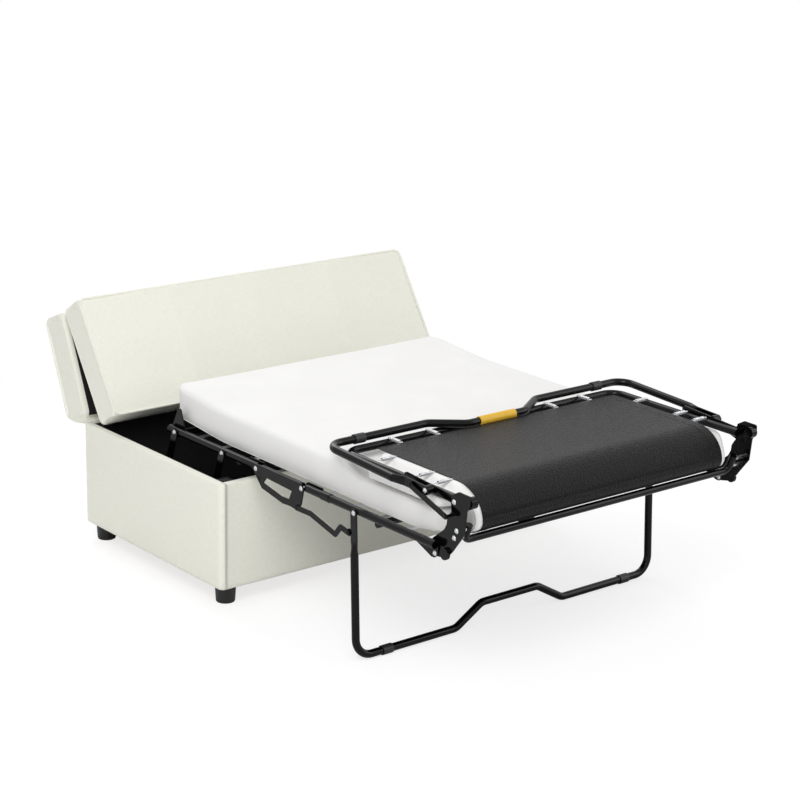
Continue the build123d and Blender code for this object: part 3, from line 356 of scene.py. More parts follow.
def smooth_step(low, high, value):
    """0 below low, 1 above high, and a smooth rise between."""
    t = np.clip((value - low) / (high - low), 0, 1)
    return t * t * (3 - 2 * t)


def ripple(a, b, seed):
    """Slow uneven waves over two arrays of places in metres, about -1 to 1, always the same."""
    waves = np.random.default_rng(seed)
    total = np.zeros(np.broadcast(a, b).shape)
    for _ in range(7):
        pitch, angle, shift = waves.uniform(5, 17), waves.uniform(0, math.pi), waves.uniform(0, 6.28)
        total = total + np.sin(pitch * (a * np.cos(angle) + b * np.sin(angle)) * 2 + shift)
    return total / 4


half_width = (box_high.x - box_low.x) / 2
half_depth = (box_high.y - box_low.y) / 2
box_middle_y = (box_high.y + box_low.y) / 2
rim_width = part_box("box_front_panel")[1].y - box_low.y


def around_box(places, inset):
    """Points (x, y) and outward ways on a rounded rectangle, inset from the box's outline, and the
    outline's length."""
    straight_x, straight_y = 2 * (half_width - cover_corner), 2 * (half_depth - cover_corner)
    quarter = cover_corner * math.pi / 2
    stretches = np.cumsum([0] + 2 * [straight_x, quarter, straight_y, quarter])
    corner_x = np.array([1, 1, -1, -1]) * (half_width - cover_corner)
    corner_y = np.array([-1, 1, 1, -1]) * (half_depth - cover_corner)
    side = np.searchsorted(stretches, places, side="right") - 1
    side = np.clip(side, 0, 7)
    along = places - stretches[side]
    run = side // 2
    turned = np.where(side % 2 == 1, along / cover_corner, 0)
    angle = -math.pi / 2 + run * math.pi / 2 + turned
    way = np.stack([np.cos(angle), np.sin(angle)], axis=-1)
    ahead = np.stack([-np.sin(angle), np.cos(angle)], axis=-1)
    corner = np.stack([corner_x[run], corner_y[run]], axis=-1)
    length = np.where(run % 2 == 0, straight_x, straight_y)
    back = np.where(side % 2 == 0, length - along, 0)[:, None]
    base = corner - ahead * back + way * (cover_corner - np.asarray(inset))[:, None]
    return base, way, stretches[-1]


perimeter = around_box(np.zeros(1), np.zeros(1))[2]
run_count = int(perimeter / cover_step)
runs = np.linspace(0, perimeter, run_count + 1)
straight_x = 2 * (half_width - cover_corner)
straight_y = 2 * (half_depth - cover_corner)
corner_arc = cover_corner * math.pi / 2
corner_places = np.cumsum(
    [straight_x, corner_arc + straight_y, corner_arc + straight_x, corner_arc + straight_y]
)
seam_places = np.sort(
    np.concatenate(
        [
            corner_places[[0, 2]] - seam_from_corner,
            corner_places[[1, 3]] + corner_arc + seam_from_corner,
        ]
    )
    % perimeter
)
for seam in seam_places:
    runs[np.argmin(np.abs(runs - seam))] = seam
arc_shares = (0, 0.25, 0.5, 0.75, 1)
arc_places = [corner + corner_arc * share for corner in corner_places for share in arc_shares]
runs = np.unique(np.round(np.concatenate([runs, arc_places]) % perimeter, 6))
runs = runs[np.concatenate([[True], np.diff(runs) > least_step])]

wall_low, wall_high = box_low.z, box_high.z
outer_z = np.linspace(wall_low + cover_foot, wall_high - rim_round, cover_rows)
turn = np.linspace(0, math.pi / 2, rim_steps)[1:]
profile_inset = np.concatenate(
    [
        np.zeros(cover_rows),
        rim_round - rim_round * np.cos(turn),
        np.linspace(rim_round, rim_width - cover_edge, rim_steps)[1:],
        [rim_width - rim_gap, rim_width - rim_gap, rim_round + cover_edge],
        np.full(cover_rows, cover_skin),
        [cover_skin * 0.5],
    ]
)
profile_z = np.concatenate(
    [
        outer_z,
        wall_high - rim_round + rim_round * np.sin(turn),
        np.full(rim_steps - 1, wall_high),
        [wall_high - rim_tuck, wall_high - cover_skin, wall_high - cover_skin],
        outer_z[::-1] - np.linspace(cover_skin - cover_edge, 0, cover_rows),
        [wall_low],
    ]
)
u, v = np.meshgrid(runs, np.arange(len(profile_z)), indexing="ij")
base, way, _ = around_box(u.ravel(), profile_inset[v.ravel()])
height = profile_z[v.ravel()]
on_outside = (v.ravel() < cover_rows) | (v.ravel() == len(profile_z) - 1)
corner_middles = np.append(corner_places + corner_arc / 2, 0)
nearest_corner = np.min(np.abs(u.ravel()[:, None] - corner_middles[None, :]), axis=1)
seam_near = np.min(np.abs(u.ravel()[:, None] - seam_places[None, :]), axis=1)
swell = smooth_step(0, swell_reach, nearest_corner) * np.sin(
    np.pi * np.clip((height - wall_low) / (wall_high - wall_low), 0, 1)
) ** swell_power
puff = cover_puff * swell * (puff_mean + puff_ripple * ripple(u.ravel(), height, 3))
dip = seam_dip * np.exp(-((seam_near / seam_reach) ** 2))
puff = puff - dip * (height < wall_high - 2 * rim_round)
base = base + way * np.where(on_outside, puff, 0)[:, None]
cover_points = np.column_stack([base[:, 0], base[:, 1] + box_middle_y, height])
run_places = np.append(runs, perimeter)
profile_places = np.concatenate(
    [[0], np.cumsum(np.hypot(np.diff(profile_inset), np.diff(profile_z)))]
)
profile_places = np.append(profile_places, profile_places[-1] + cover_foot)
cover_faces = grid_faces(len(runs), len(profile_z), True, True)[:, ::-1]
cover_uvs = grid_uvs(
    len(runs), len(profile_z), True, True, row_places=run_places, column_places=profile_places
)[:, ::-1]
# No painted seam shade on the box cover: its seams are only dips in the cloth.
no_seam_shade = np.zeros(len(cover_points))
box_cover = new_piece("box_upholstery", cover_points, cover_faces, cover_uvs[..., ::-1], no_seam_shade)

# The cloth is a plain weave of slubby yarn. Its threads are too fine to show from where the camera
# stands, so the weave is drawn as soft ribs 15 mm apart, with long flecks of yarn across them.
weave_pitch = 0.01508
fleck_scale = (60.0, 420.0, 1.0)
ivory, tree, shader = new_material(
    "ivory_woven_linen", Roughness=0.92, Sheen_Weight=0.18, Sheen_Roughness=0.6
)
cloth_map = add_node(tree, "ShaderNodeUVMap", uv_map="cloth")
yarns = []
for direction in ("X", "Y"):
    yarns.append(
        add_node(
            tree,
            "ShaderNodeTexWave",
            {
                "Vector": cloth_map.outputs[0],
                "Scale": 2 * math.pi / (wave_bands * weave_pitch),
                "Distortion": 1.2,
                "Detail": 2.0,
                "Detail Scale": 1.6,
            },
            bands_direction=direction,
        )
    )
weave = add_node(
    tree, "ShaderNodeMath", {0: yarns[0].outputs[1], 1: yarns[1].outputs[1]}, operation="MAXIMUM"
)
flecks = []
for scale in (fleck_scale, (fleck_scale[1], fleck_scale[0], fleck_scale[2])):
    stretch = add_node(
        tree, "ShaderNodeMapping", {"Vector": cloth_map.outputs[0], "Scale": scale}
    )
    flecks.append(
        add_node(
            tree, "ShaderNodeTexNoise", {"Vector": stretch.outputs[0], "Scale": 1.0, "Detail": 3.0}
        )
    )
mottle = add_node(
    tree,
    "ShaderNodeTexNoise",
    {"Vector": cloth_map.outputs[0], "Scale": 9.0, "Detail": 4.0, "Roughness": 0.6},
)
yarn_sum = add_node(
    tree, "ShaderNodeMath", {0: flecks[0].outputs[0], 1: flecks[1].outputs[0]}, operation="ADD"
)
yarn_shade = add_node(
    tree,
    "ShaderNodeMapRange",
    {"Value": yarn_sum.outputs[0], "From Min": 0.75, "From Max": 1.25},
)
ivory_yarn = mix_colours(tree, yarn_shade.outputs[0], "#ECEBDC", "#FAFAEF")
ivory_mottled = mix_colours(tree, mottle.outputs[0], ivory_yarn, "#F3F3E6")
# Painted shade: where the seam value is high, on the piped border round each slab's face, the cloth is
# mixed to a darker grey-beige as if shaded by the piping. The seams' share of 0.35 stays below the range
# and paints nothing.
seam_shade_here = add_node(tree, "ShaderNodeAttribute", attribute_name="seam")
seam_shade_line = add_node(
    tree,
    "ShaderNodeMapRange",
    {"Value": seam_shade_here.outputs["Fac"], "From Min": 0.72, "From Max": 0.96},
)
ivory_seam_shaded = mix_colours(tree, seam_shade_line.outputs[0], ivory_mottled, "#B9B4A1")
tree.links.new(ivory_seam_shaded, shader.inputs["Base Color"])
relief = add_node(
    tree, "ShaderNodeMath", {0: weave.outputs[0], 1: yarn_sum.outputs[0]}, operation="ADD"
)
roughen(tree, shader, relief.outputs[0], 0.35, 0.0005)
box_cover.data.materials.append(ivory)
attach(box_cover, "box")
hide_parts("box_cover")

# Lining
# Thin black spun cloth glued inside the plywood, so that bedding does not catch on the wood.
# It shows faint points from the press that bonded its fibres. The posts and the lid's boards are
# wrapped in the same cloth.
spun, tree, shader = new_material("black_spun_cloth", Roughness=0.95)
places = add_node(tree, "ShaderNodeTexCoord")
bond_pitch = 0.004
bonds = add_node(
    tree, "ShaderNodeTexVoronoi", {"Vector": places.outputs["Object"], "Scale": 1 / bond_pitch}
)
spun_colour = mix_colours(tree, bonds.outputs[0], "#0B0B0C", "#19191B")
tree.links.new(spun_colour, shader.inputs["Base Color"])
roughen(tree, shader, bonds.outputs[0], 0.3, 0.0003)
finish_nodes(spun, "box_lining", "box_corner_posts", "lid_back_board", "lid_flap_board")

# Feet
# Short round feet, moulded in black polypropylene with a fine spark-eroded grain.
# Each is screwed up into the floor board at a corner.
foot_plastic, tree, shader = new_material(
    "moulded_polypropylene", Base_Color=linear("#17171A"), Roughness=0.5
)
places = add_node(tree, "ShaderNodeTexCoord")
spark_grain = 0.0012
mould_grain = add_node(
    tree,
    "ShaderNodeTexNoise",
    {"Vector": places.outputs["Object"], "Scale": 1 / spark_grain, "Detail": 2.0},
)
roughen(tree, shader, mould_grain.outputs[0], 0.2, 0.0002)
foot_rows = 48
foot_taper = 0.003
tread_round = 0.004
collar_height = 0.006
collar_step = 0.0006
top_round = 0.001


def close_ends(piece, sides=0, sharp=False, outward=False):
    """Close a mesh's open ends, up to this many sides or all at 0. Sharp leaves a crisp rim round
    flat caps, and outward turns every face to look out."""
    shape = bmesh.new()
    shape.from_mesh(piece.data)
    rim = [edge for edge in shape.edges if edge.is_boundary]
    caps = bmesh.ops.holes_fill(shape, edges=rim, sides=sides)["faces"]
    if sharp:
        for part in rim + caps:
            part.smooth = False
    if outward:
        bmesh.ops.recalc_face_normals(shape, faces=shape.faces)
    shape.to_mesh(piece.data)
    shape.free()


for corner in ("front_left", "front_right", "back_left", "back_right"):
    low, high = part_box(f"foot_{corner}")
    centre_x, centre_y = (low.x + high.x) / 2, (low.y + high.y) / 2
    foot_radius = (high.x - low.x) / 2
    tread_radius = foot_radius - foot_taper
    foot_profile = np.array(
        [
            [tread_radius - tread_round, 0],
            [tread_radius - 0.3 * tread_round, 0.2 * tread_round],
            [tread_radius, 0.875 * tread_round],
            [foot_radius - collar_step, high.z - collar_height - 2 * top_round],
            [foot_radius, high.z - collar_height],
            [foot_radius, high.z - top_round],
            [foot_radius - top_round, high.z],
        ]
    )
    angle = np.linspace(0, 2 * math.pi, foot_rows, endpoint=False)
    ring, spoke = np.meshgrid(angle, foot_profile[:, 0], indexing="ij")
    foot_z = np.meshgrid(angle, foot_profile[:, 1], indexing="ij")[1]
    points = np.stack(
        [centre_x + spoke * np.cos(ring), centre_y + spoke * np.sin(ring), foot_z], axis=-1
    ).reshape(-1, 3)
    rings = grid_faces(foot_rows, len(foot_profile), True, False)
    foot = new_piece(f"foot_{corner}_turned", points, rings)
    close_ends(foot, foot_rows, outward=True)
    foot.data.materials.append(foot_plastic)
    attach(foot, "box")
    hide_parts(f"foot_{corner}")

# Lid slabs
# Two foam slabs on boards: the back slab is hinged to the box and the flap to the back slab.
# Each face is four sewn panels with a piped border, blown out a little by the foam behind it.
joints = {joint["name"]: joint for joint in frame["joints"]}
lid_pivot = np.array(joints["lid_hinge"]["pos_m"])
apex_pivot = np.array(joints["flap_hinge"]["pos_m"])
slab_width = half_width
slab_underside = 0.0042
slab_face = 0.1100
slab_round = 0.024
slab_step = 0.0115
back_start = 0.010
back_end = 0.3285
back_tail_bulge = 0.030
flap_start = 0.0035
flap_end = 0.3715
flap_end_bulge = 0.007
slab_pressure = 3.0
slab_swell = 0.0085
seam_shade_share = 0.35
seam_sink = 0.0035
dimple_depth = 0.0018
piping_radius = 0.0033
piping_step = 0.008
piping_sides = 10
piping_corner = 0.9
piping_proud = 0.25
corner_steps = 7
hair = 1e-6
lid_way = (apex_pivot - lid_pivot) / np.linalg.norm(apex_pivot - lid_pivot)
flap_lean = math.radians(33.0)
flap_way = np.array([0.0, -math.sin(flap_lean), -math.cos(flap_lean)])


def block_lines(low, high, edge, step, extra=()):
    """Places of grid lines from low to high: close in the rounded edges, even between them."""
    middle = np.linspace(low + edge, high - edge, max(2, round((high - low - 2 * edge) / step)))
    rounding = edge * np.array([0, 0.22, 0.42, 0.6, 0.8])
    lines = np.concatenate([low + rounding, middle, high - rounding[::-1]])
    for place in extra:
        lines[np.argmin(np.abs(lines - place))] = place
    return lines


def rounded_block(lines, radius):
    """A closed rounded box: each point of its cube grid is drawn in to the box inset by the
    radius and pushed out by the radius the way it came. Gives points, quads, UVs and the cube
    places that the points came from."""
    low = np.array([a[0] for a in lines])
    high = np.array([a[-1] for a in lines])
    all_points, all_faces, all_uvs, count = [], [], [], 0
    for axis in range(3):
        b, c = (axis + 1) % 3, (axis + 2) % 3
        for side in (0, -1):
            across, along = np.meshgrid(lines[b], lines[c], indexing="ij")
            points = np.zeros(across.shape + (3,))
            points[..., axis] = lines[axis][side]
            points[..., b], points[..., c] = across, along
            faces = grid_faces(*across.shape) + count
            uvs = np.stack([across, along], axis=-1).reshape(-1, 2)[faces - count]
            if side == -1:
                faces, uvs = faces[:, ::-1], uvs[:, ::-1]
            all_points.append(points.reshape(-1, 3))
            all_faces.append(faces[:, ::-1])
            all_uvs.append(uvs[:, ::-1])
            count += points.size // 3
    cube = np.concatenate(all_points)
    unique, index = np.unique(np.round(cube, 6), axis=0, return_inverse=True)
    faces = index.ravel()[np.concatenate(all_faces)]
    inner = np.clip(unique, low + radius, high - radius)
    out = unique - inner
    length = np.linalg.norm(out, axis=1, keepdims=True)
    points = inner + out / np.maximum(length, 1e-9) * radius
    return points, faces, np.concatenate(all_uvs), unique


def inflate(piece, held, pressure, cap, frames=20):
    """Blow a cover up as its foam does: cloth with inner pressure, held at its seams. No point
    moves further than cap. The result goes into the mesh."""
    rest = np.array([point.co for point in piece.data.vertices])
    group = piece.vertex_groups.new(name="held")
    group.add([int(place) for place in np.flatnonzero(held)], 1.0, "REPLACE")
    cloth = piece.modifiers.new("cover", "CLOTH")
    cloth.settings.quality = 4
    cloth.settings.mass = 0.3
    cloth.settings.use_pressure = True
    cloth.settings.uniform_pressure_force = pressure
    cloth.settings.effector_weights.gravity = 0
    cloth.settings.vertex_group_mass = "held"
    cloth.settings.tension_stiffness = 12
    cloth.settings.compression_stiffness = 12
    cloth.settings.bending_stiffness = 0.4
    cloth.collision_settings.use_collision = False
    for number in range(1, frames + 1):
        bpy.context.scene.frame_set(number)
    shaped = piece.evaluated_get(bpy.context.evaluated_depsgraph_get()).to_mesh()
    moved = np.array([point.co for point in shaped.vertices]) - rest
    length = np.linalg.norm(moved, axis=1, keepdims=True)
    moved = moved * np.tanh(length / cap) * cap / np.maximum(length, 1e-9)
    piece.modifiers.remove(cloth)
    piece.vertex_groups.remove(group)
    piece.data.vertices.foreach_set("co", (rest + moved).astype(np.float32).ravel())
    piece.data.update()
    bpy.context.scene.frame_set(1)


def round_tube(name, path, radius, sides, closed, material):
    """A tube along points: rings square to the path, turned with it so that they never twist."""
    path = np.asarray(path)
    if closed:
        ahead = np.roll(path, -1, axis=0) - np.roll(path, 1, axis=0)
    else:
        ahead = np.gradient(path, axis=0)
    ahead = ahead / np.linalg.norm(ahead, axis=1, keepdims=True)
    across = np.zeros_like(ahead)
    guide = np.eye(3)[np.argmin(np.abs(ahead[0]))]
    for place, way in enumerate(ahead):
        guide = guide - way * guide.dot(way)
        guide = guide / np.linalg.norm(guide)
        across[place] = guide
    over = np.cross(ahead, across)
    angle = np.linspace(0, 2 * math.pi, sides, endpoint=False)
    cosine, sine = np.cos(angle)[None, :, None], np.sin(angle)[None, :, None]
    ring = across[:, None, :] * cosine + over[:, None, :] * sine
    points = (path[:, None, :] + ring * radius).reshape(-1, 3)
    places = np.concatenate([[0], np.cumsum(np.linalg.norm(np.diff(path, axis=0), axis=1))])
    places = np.append(places, places[-1] + np.linalg.norm(path[0] - path[-1]))
    around = np.linspace(0, 2 * math.pi * radius, sides + 1)
    faces = grid_faces(len(path), sides, closed, True)
    uvs = grid_uvs(len(path), sides, closed, True, row_places=places, column_places=around)
    piece = new_piece(name, points, faces, uvs, np.zeros(len(points)))
    if not closed:
        close_ends(piece, sides)
    piece.data.materials.append(material)
    return piece


def slab_places(points, pivot, way):
    """Turn a slab's own places (x, run, padding) into the bed's places."""
    out = np.array([0.0, way[2], -way[1]])
    return (
        points[:, :1] * np.array([1.0, 0, 0]) + points[:, 1:2] * way + points[:, 2:3] * out + pivot
    )


def lid_slab(name, pivot, way, start, end, tail_bulge, end_bulge, seed):
    """A slab from start to end of its run, with its piping; returns the cushion and the piping."""
    x_lines = block_lines(
        -slab_width, slab_width, slab_round, slab_step, extra=(-slab_width / 2, 0, slab_width / 2)
    )
    run_lines = block_lines(start, end, slab_round, slab_step)
    pad_lines = block_lines(slab_underside, slab_face, slab_round, slab_step)
    points, faces, uvs, cube = rounded_block([x_lines, run_lines, pad_lines], slab_round)
    x, run, pad = cube.T
    level = np.sin(np.pi * np.clip((pad - slab_underside) / (slab_face - slab_underside), 0, 1))
    inner_x = 1 - (x / slab_width) ** 2
    middle_run = np.clip((run - start) / (end - start), 0, 1)
    points[:, 1] -= tail_bulge * level * (run < start + hair) * smooth_step(0, 0.2, inner_x)
    points[:, 1] += end_bulge * level * (run > end - hair) * smooth_step(0, 0.2, inner_x)
    on_face = pad > slab_face - hair
    on_board = pad < slab_underside + hair
    on_border = on_face & (
        (np.abs(x) > slab_width - hair) | (run < start + hair) | (run > end - hair)
    )
    seam_x = np.min(np.abs(np.abs(x)[:, None] - np.array([0, slab_width / 2])[None, :]), axis=1)
    on_seam = on_face & (seam_x < 100 * hair)
    # The seam value paints shade in the ivory cloth: 1 on the face's piped border, a smaller share on the
    # seams.
    cushion = new_piece(name, points, faces, uvs, on_border + seam_shade_share * on_seam)
    inflate(cushion, on_border | on_seam | on_board, slab_pressure, slab_swell)
    settled = np.array([point.co for point in cushion.data.vertices])
    dimple = dimple_depth * ripple(x, run, seed) * on_face * smooth_step(0.004, 0.05, seam_x)
    settled[:, 2] += dimple * np.sin(np.pi * middle_run)
    settled[:, 2] -= seam_sink * on_seam * np.sin(np.pi * middle_run) ** 0.3
    cushion.data.vertices.foreach_set(
        "co", slab_places(settled, pivot, way).astype(np.float32).ravel()
    )
    cushion.data.materials.append(ivory)
    cushion.modifiers.new("fine", "SUBSURF").levels = 1
    cushion.modifiers["fine"].render_levels = 1
    drop = slab_round * (1 - math.sqrt(0.5))
    corner = slab_round * piping_corner
    half_x, half_run = slab_width - drop - corner, (end - start) / 2 - drop - corner
    steps = np.linspace(0, math.pi / 2, corner_steps)[:-1]
    outline = []
    for quarter, (side_x, side_run) in enumerate(((1, 1), (-1, 1), (-1, -1), (1, -1))):
        angle = steps + quarter * math.pi / 2
        outline.append(
            np.stack(
                [side_x * half_x + corner * np.cos(angle), side_run * half_run + corner * np.sin(angle)],
                axis=1,
            )
        )
    outline = np.concatenate(outline)
    closed = np.vstack([outline, outline[:1]])
    lengths = np.concatenate([[0], np.cumsum(np.linalg.norm(np.diff(closed, axis=0), axis=1))])
    even = np.linspace(0, lengths[-1], int(lengths[-1] / piping_step), endpoint=False)
    loop = np.stack([np.interp(even, lengths, closed[:, k]) for k in (0, 1)], axis=1)
    level = np.full(len(loop), slab_face - drop + piping_radius * piping_proud)
    path = np.column_stack([loop[:, 0], loop[:, 1] + (start + end) / 2, level])
    loop_places = slab_places(path, pivot, way)
    piping = round_tube(f"{name}_piping", loop_places, piping_radius, piping_sides, True, ivory)
    return cushion, piping


for body, pivot, way, start, end, tail_bulge, end_bulge, seed in (
    ("lid_back", lid_pivot, lid_way, back_start, back_end, back_tail_bulge, 0, 11),
    ("lid_flap", apex_pivot, flap_way, flap_start, flap_end, 0, flap_end_bulge, 23),
):
    cushion, piping = lid_slab(f"{body}_slab", pivot, way, start, end, tail_bulge, end_bulge, seed)
    for piece in (cushion, piping):
        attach(piece, body)
    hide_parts(f"{body}_cushion")

# Bed frame
# Round steel tube and pressed plate, welded, and powder-coated gloss black. The coat has a slight
# orange peel, and it hides the weld seams but not the long highlights along the tubes.
black_coat, tree, shader = new_material(
    "gloss_powder_coat", Base_Color=linear("#050506"), Specular_IOR_Level=0.20
)
places = add_node(tree, "ShaderNodeTexCoord")
peel_size = 0.006
peel = add_node(
    tree, "ShaderNodeTexNoise", {"Vector": places.outputs["Object"], "Scale": 1 / peel_size}
)
roughen(tree, shader, peel.outputs[0], 0.08, 0.0004)
rubbed = add_node(
    tree,
    "ShaderNodeTexNoise",
    {"Vector": places.outputs["Object"], "Scale": 24.0, "Detail": 4.0},
)
rub = add_node(
    tree,
    "ShaderNodeMapRange",
    {"Value": rubbed.outputs[0], "From Min": 0.4, "From Max": 0.75, "To Min": 0.10, "To Max": 0.20},
)
tree.links.new(rub.outputs[0], shader.inputs["Roughness"])
finish_nodes(
    black_coat,
    "mount_bracket_left",
    "mount_bracket_right",
    "lift_links",
    "head_rail_left",
    "head_rail_right",
    "head_cross_tubes",
    "fold_link_left",
    "fold_link_right",
    "mid_rail_left",
    "mid_rail_right",
    "mid_cross_tube",
    "front_leg",
    "front_brace_left",
    "front_brace_right",
    "hinge_plate_left",
    "hinge_plate_right",
    "front_bar",
    "foot_frame",
    "foot_leg",
    "foot_braces",
)

# Rivets, hinges and the springs under the mattress
# Zinc-plated steel: a cool bright metal with a soft, slightly cloudy plating. The rivets join the
# frame's plates, and the strap hinges are screwed to the box and the lid's boards.
zinc, tree, shader = new_material("zinc_plate", Metallic=1.0, Roughness=0.3)
places = add_node(tree, "ShaderNodeTexCoord")
cloud = add_node(
    tree, "ShaderNodeTexNoise", {"Vector": places.outputs["Object"], "Scale": 90.0, "Detail": 3.0}
)
zinc_colour = mix_colours(tree, cloud.outputs[0], "#B9BBBE", "#DFE0E2")
tree.links.new(zinc_colour, shader.inputs["Base Color"])
finish_nodes(
    zinc,
    "lid_hinge_box_leaves",
    "lid_hinge_lid_leaves",
    "apex_hinge_back_leaves",
    "apex_hinge_flap_leaves",
    "head_rivets",
    "mid_rivets",
    "hinge_rivets",
    "foot_rivets",
    "head_springs",
    "mid_springs",
)

# Glides and pull sleeve
# Black moulded rings on the legs' base tubes, and a plain yellow vinyl sleeve round the foot leg's
# raised middle, where a hand pulls it. The sleeve is bare and slightly creased.
finish_nodes(foot_plastic, "front_leg_glides", "foot_leg_glides")
sleeve_vinyl, tree, shader = new_material("yellow_vinyl", Roughness=0.42)
places = add_node(tree, "ShaderNodeTexCoord")
creases = add_node(
    tree,
    "ShaderNodeTexNoise",
    {"Vector": places.outputs["Object"], "Scale": 55.0, "Detail": 4.0, "Distortion": 0.8},
)
vinyl_colour = mix_colours(tree, creases.outputs[0], "#D9A417", "#F0C53A")
tree.links.new(vinyl_colour, shader.inputs["Base Color"])
roughen(tree, shader, creases.outputs[0], 0.35, 0.0008)
finish_nodes(sleeve_vinyl, "pull_sleeve")

# Mattress
# One foam mattress in a smooth white knitted cover. It lies on the head and middle decks with its
# head end a little raised, is pressed under the folded foot section, and turns back at the fold.
link_rear = np.array(joints["bed_fold"]["pos_m"])
link_front = np.array(joints["mid_fold"]["pos_m"])
fold_pivot = np.array(joints["foot_fold"]["pos_m"])
foot_pivot = np.array(joints["foot_turn"]["pos_m"])
head_low, head_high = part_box("mattress_head")
fold_low, fold_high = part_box("mattress_fold")
foam_low, foam_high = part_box("mattress_foot")
mattress_half = head_high.x - 0.001
mattress_edge = 0.020
mattress_corner = 0.055
mattress_step = 0.014
fold_centre_y = front_y - 0.751
nose_z = fold_low.z + 0.0425
press_start = front_y - 0.345
press_end = front_y - 0.450
pressed_top = foam_low.z - 0.0006
crease_radius = 0.0016
crease_z = foam_low.z + crease_radius
shoulder_drop = 0.0258
nose_pinch = 1 - fold_high.x / mattress_half
head_rise = 0.018
head_rise_run = 0.30
fold_ease = 0.10
ease_gap = 0.01
shoulder_from = 0.420
shoulder_to = 0.452
mattress_pressure = 2.0
mattress_swell = 0.0085
top_waves = 0.010
flat_height = 0.100
fold_reach = 0.6
nose_points = 181
upper_from = 0.55
pinch_before = 0.03
pinch_after = 0.05
top_from = 0.9

first_run = head_high.y - fold_centre_y
top_run = foam_high.y - fold_centre_y


def nose_line(offset):
    """Two quarter ellipses from the fold's underside round its nose to its top, standing off by
    offset: the lengths along them, and the places (y, z) there."""
    turn = np.linspace(0, math.pi, nose_points)
    rise = np.where(turn < math.pi / 2, nose_z - fold_low.z, fold_high.z - nose_z) + offset
    y = fold_centre_y - (fold_centre_y - fold_low.y + offset) * np.sin(turn)
    z = nose_z - rise * np.cos(turn)
    return np.concatenate([[0], np.cumsum(np.hypot(np.diff(y), np.diff(z)))]), y, z


foam_line = nose_line(0)
turn_run = foam_line[0][-1]
mattress_length = first_run + turn_run + top_run


def mattress_outer(run):
    """The side next to the deck, as (y, z), at runs from the head end: level, round the fold, and
    back level under the foot deck."""
    turned = run - first_run
    y = np.where(turned < 0, head_high.y - run, np.interp(turned, foam_line[0], foam_line[1]))
    y = np.where(turned > turn_run, fold_centre_y + turned - turn_run, y)
    level = head_low.z + (fold_low.z - head_low.z) * smooth_step(
        first_run - fold_ease, first_run - ease_gap, run
    )
    return y, np.where(turned < 0, level, np.interp(turned, foam_line[0], foam_line[2]))


def mattress_inner(run):
    """The side away from the deck, at the same runs: the top of the bed, pressed down towards the
    fold, the tight crease inside it, and the underside of the folded end."""
    turn = np.clip((run - first_run) / turn_run, 0, 1) * math.pi
    y = np.where(run < first_run, head_high.y - run, fold_centre_y - crease_radius * np.sin(turn))
    y = np.where(run > first_run + turn_run, fold_centre_y + run - first_run - turn_run, y)
    top = head_high.z + (pressed_top - head_high.z) * smooth_step(
        head_high.y - press_start, head_high.y - press_end, run
    )
    return y, np.where(run < first_run, top, crease_z - crease_radius * np.cos(turn))


def fold_mattress(points):
    """Bend straight places (x, run, height share) into the folded mattress's places."""
    x, run, share = points.T
    held = np.clip(run, 0, mattress_length)
    outer_y, outer_z = mattress_outer(held)
    inner_y, inner_z = mattress_inner(held)
    over = run - held
    y = outer_y + (inner_y - outer_y) * share - np.where(over < 0, over, -over)
    z = outer_z + (inner_z - outer_z) * share
    upper = smooth_step(first_run + turn_run * upper_from, first_run + turn_run, run)
    shoulder = smooth_step(shoulder_from, shoulder_to, np.abs(x)) * upper
    shoulder = shoulder * (1 - np.clip(share, 0, 1))
    z = z - shoulder_drop * shoulder + head_rise * (1 - smooth_step(0, head_rise_run, held))
    narrow = smooth_step(first_run - pinch_before, first_run + pinch_after, run) * (1 - upper)
    corner = np.clip(mattress_corner - run, 0, mattress_corner)
    pull = mattress_corner - np.sqrt(np.maximum(mattress_corner**2 - corner**2, 0))
    x = x * (1 - narrow * nose_pinch) * (1 - pull / mattress_half)
    return np.column_stack([x, y, z])


mattress_lines = [
    block_lines(-mattress_half, mattress_half, mattress_edge, mattress_step),
    block_lines(0, mattress_length, mattress_edge, mattress_step),
    block_lines(0, flat_height, mattress_edge, mattress_step),
]
points, faces, uvs, cube = rounded_block(mattress_lines, mattress_edge)
mattress = new_piece("mattress_whole", points, faces, uvs, np.zeros(len(points)))
inflate(mattress, np.abs(cube[:, 2]) < hair, mattress_pressure, mattress_swell)
settled = np.array([point.co for point in mattress.data.vertices])
settled[:, 2] = settled[:, 2] / flat_height
settled[:, 2] += top_waves * ripple(settled[:, 0], settled[:, 1], 5) * (settled[:, 2] > top_from)
face_run = settled[faces][:, :, 1].mean(axis=1)
whole_points = fold_mattress(settled)
bpy.data.objects.remove(mattress)

knit, tree, shader = new_material(
    "white_knit_ticking", Roughness=0.85, Sheen_Weight=0.1, Sheen_Roughness=0.5
)
cloth_map = add_node(tree, "ShaderNodeUVMap", uv_map="cloth")
knit_pitch = 0.0035
knit_cells = add_node(
    tree, "ShaderNodeTexVoronoi", {"Vector": cloth_map.outputs[0], "Scale": 1 / knit_pitch}
)
knit_cloud = add_node(
    tree, "ShaderNodeTexNoise", {"Vector": cloth_map.outputs[0], "Scale": 6.0, "Detail": 3.0}
)
knit_colour = mix_colours(tree, knit_cloud.outputs[0], "#EFEEEB", "#F9F8F6")
tree.links.new(knit_colour, shader.inputs["Base Color"])
roughen(tree, shader, knit_cells.outputs[0], 0.12, 0.0006)


def cut_piece(name, points, faces, uvs, picked, material):
    """The picked faces as a piece of their own, its cut ends closed."""
    used, index = np.unique(faces[picked], return_inverse=True)
    piece = new_piece(
        name, points[used], index.reshape(-1, faces.shape[1]), uvs[picked], np.zeros(len(used))
    )
    close_ends(piece, sharp=True)
    piece.data.materials.append(material)
    return piece


def bend_over(piece):
    """Bake a piece's transform into its mesh."""
    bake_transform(piece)


def run_at(y):
    """The mattress's run at a place along the level bed."""
    return head_high.y - y


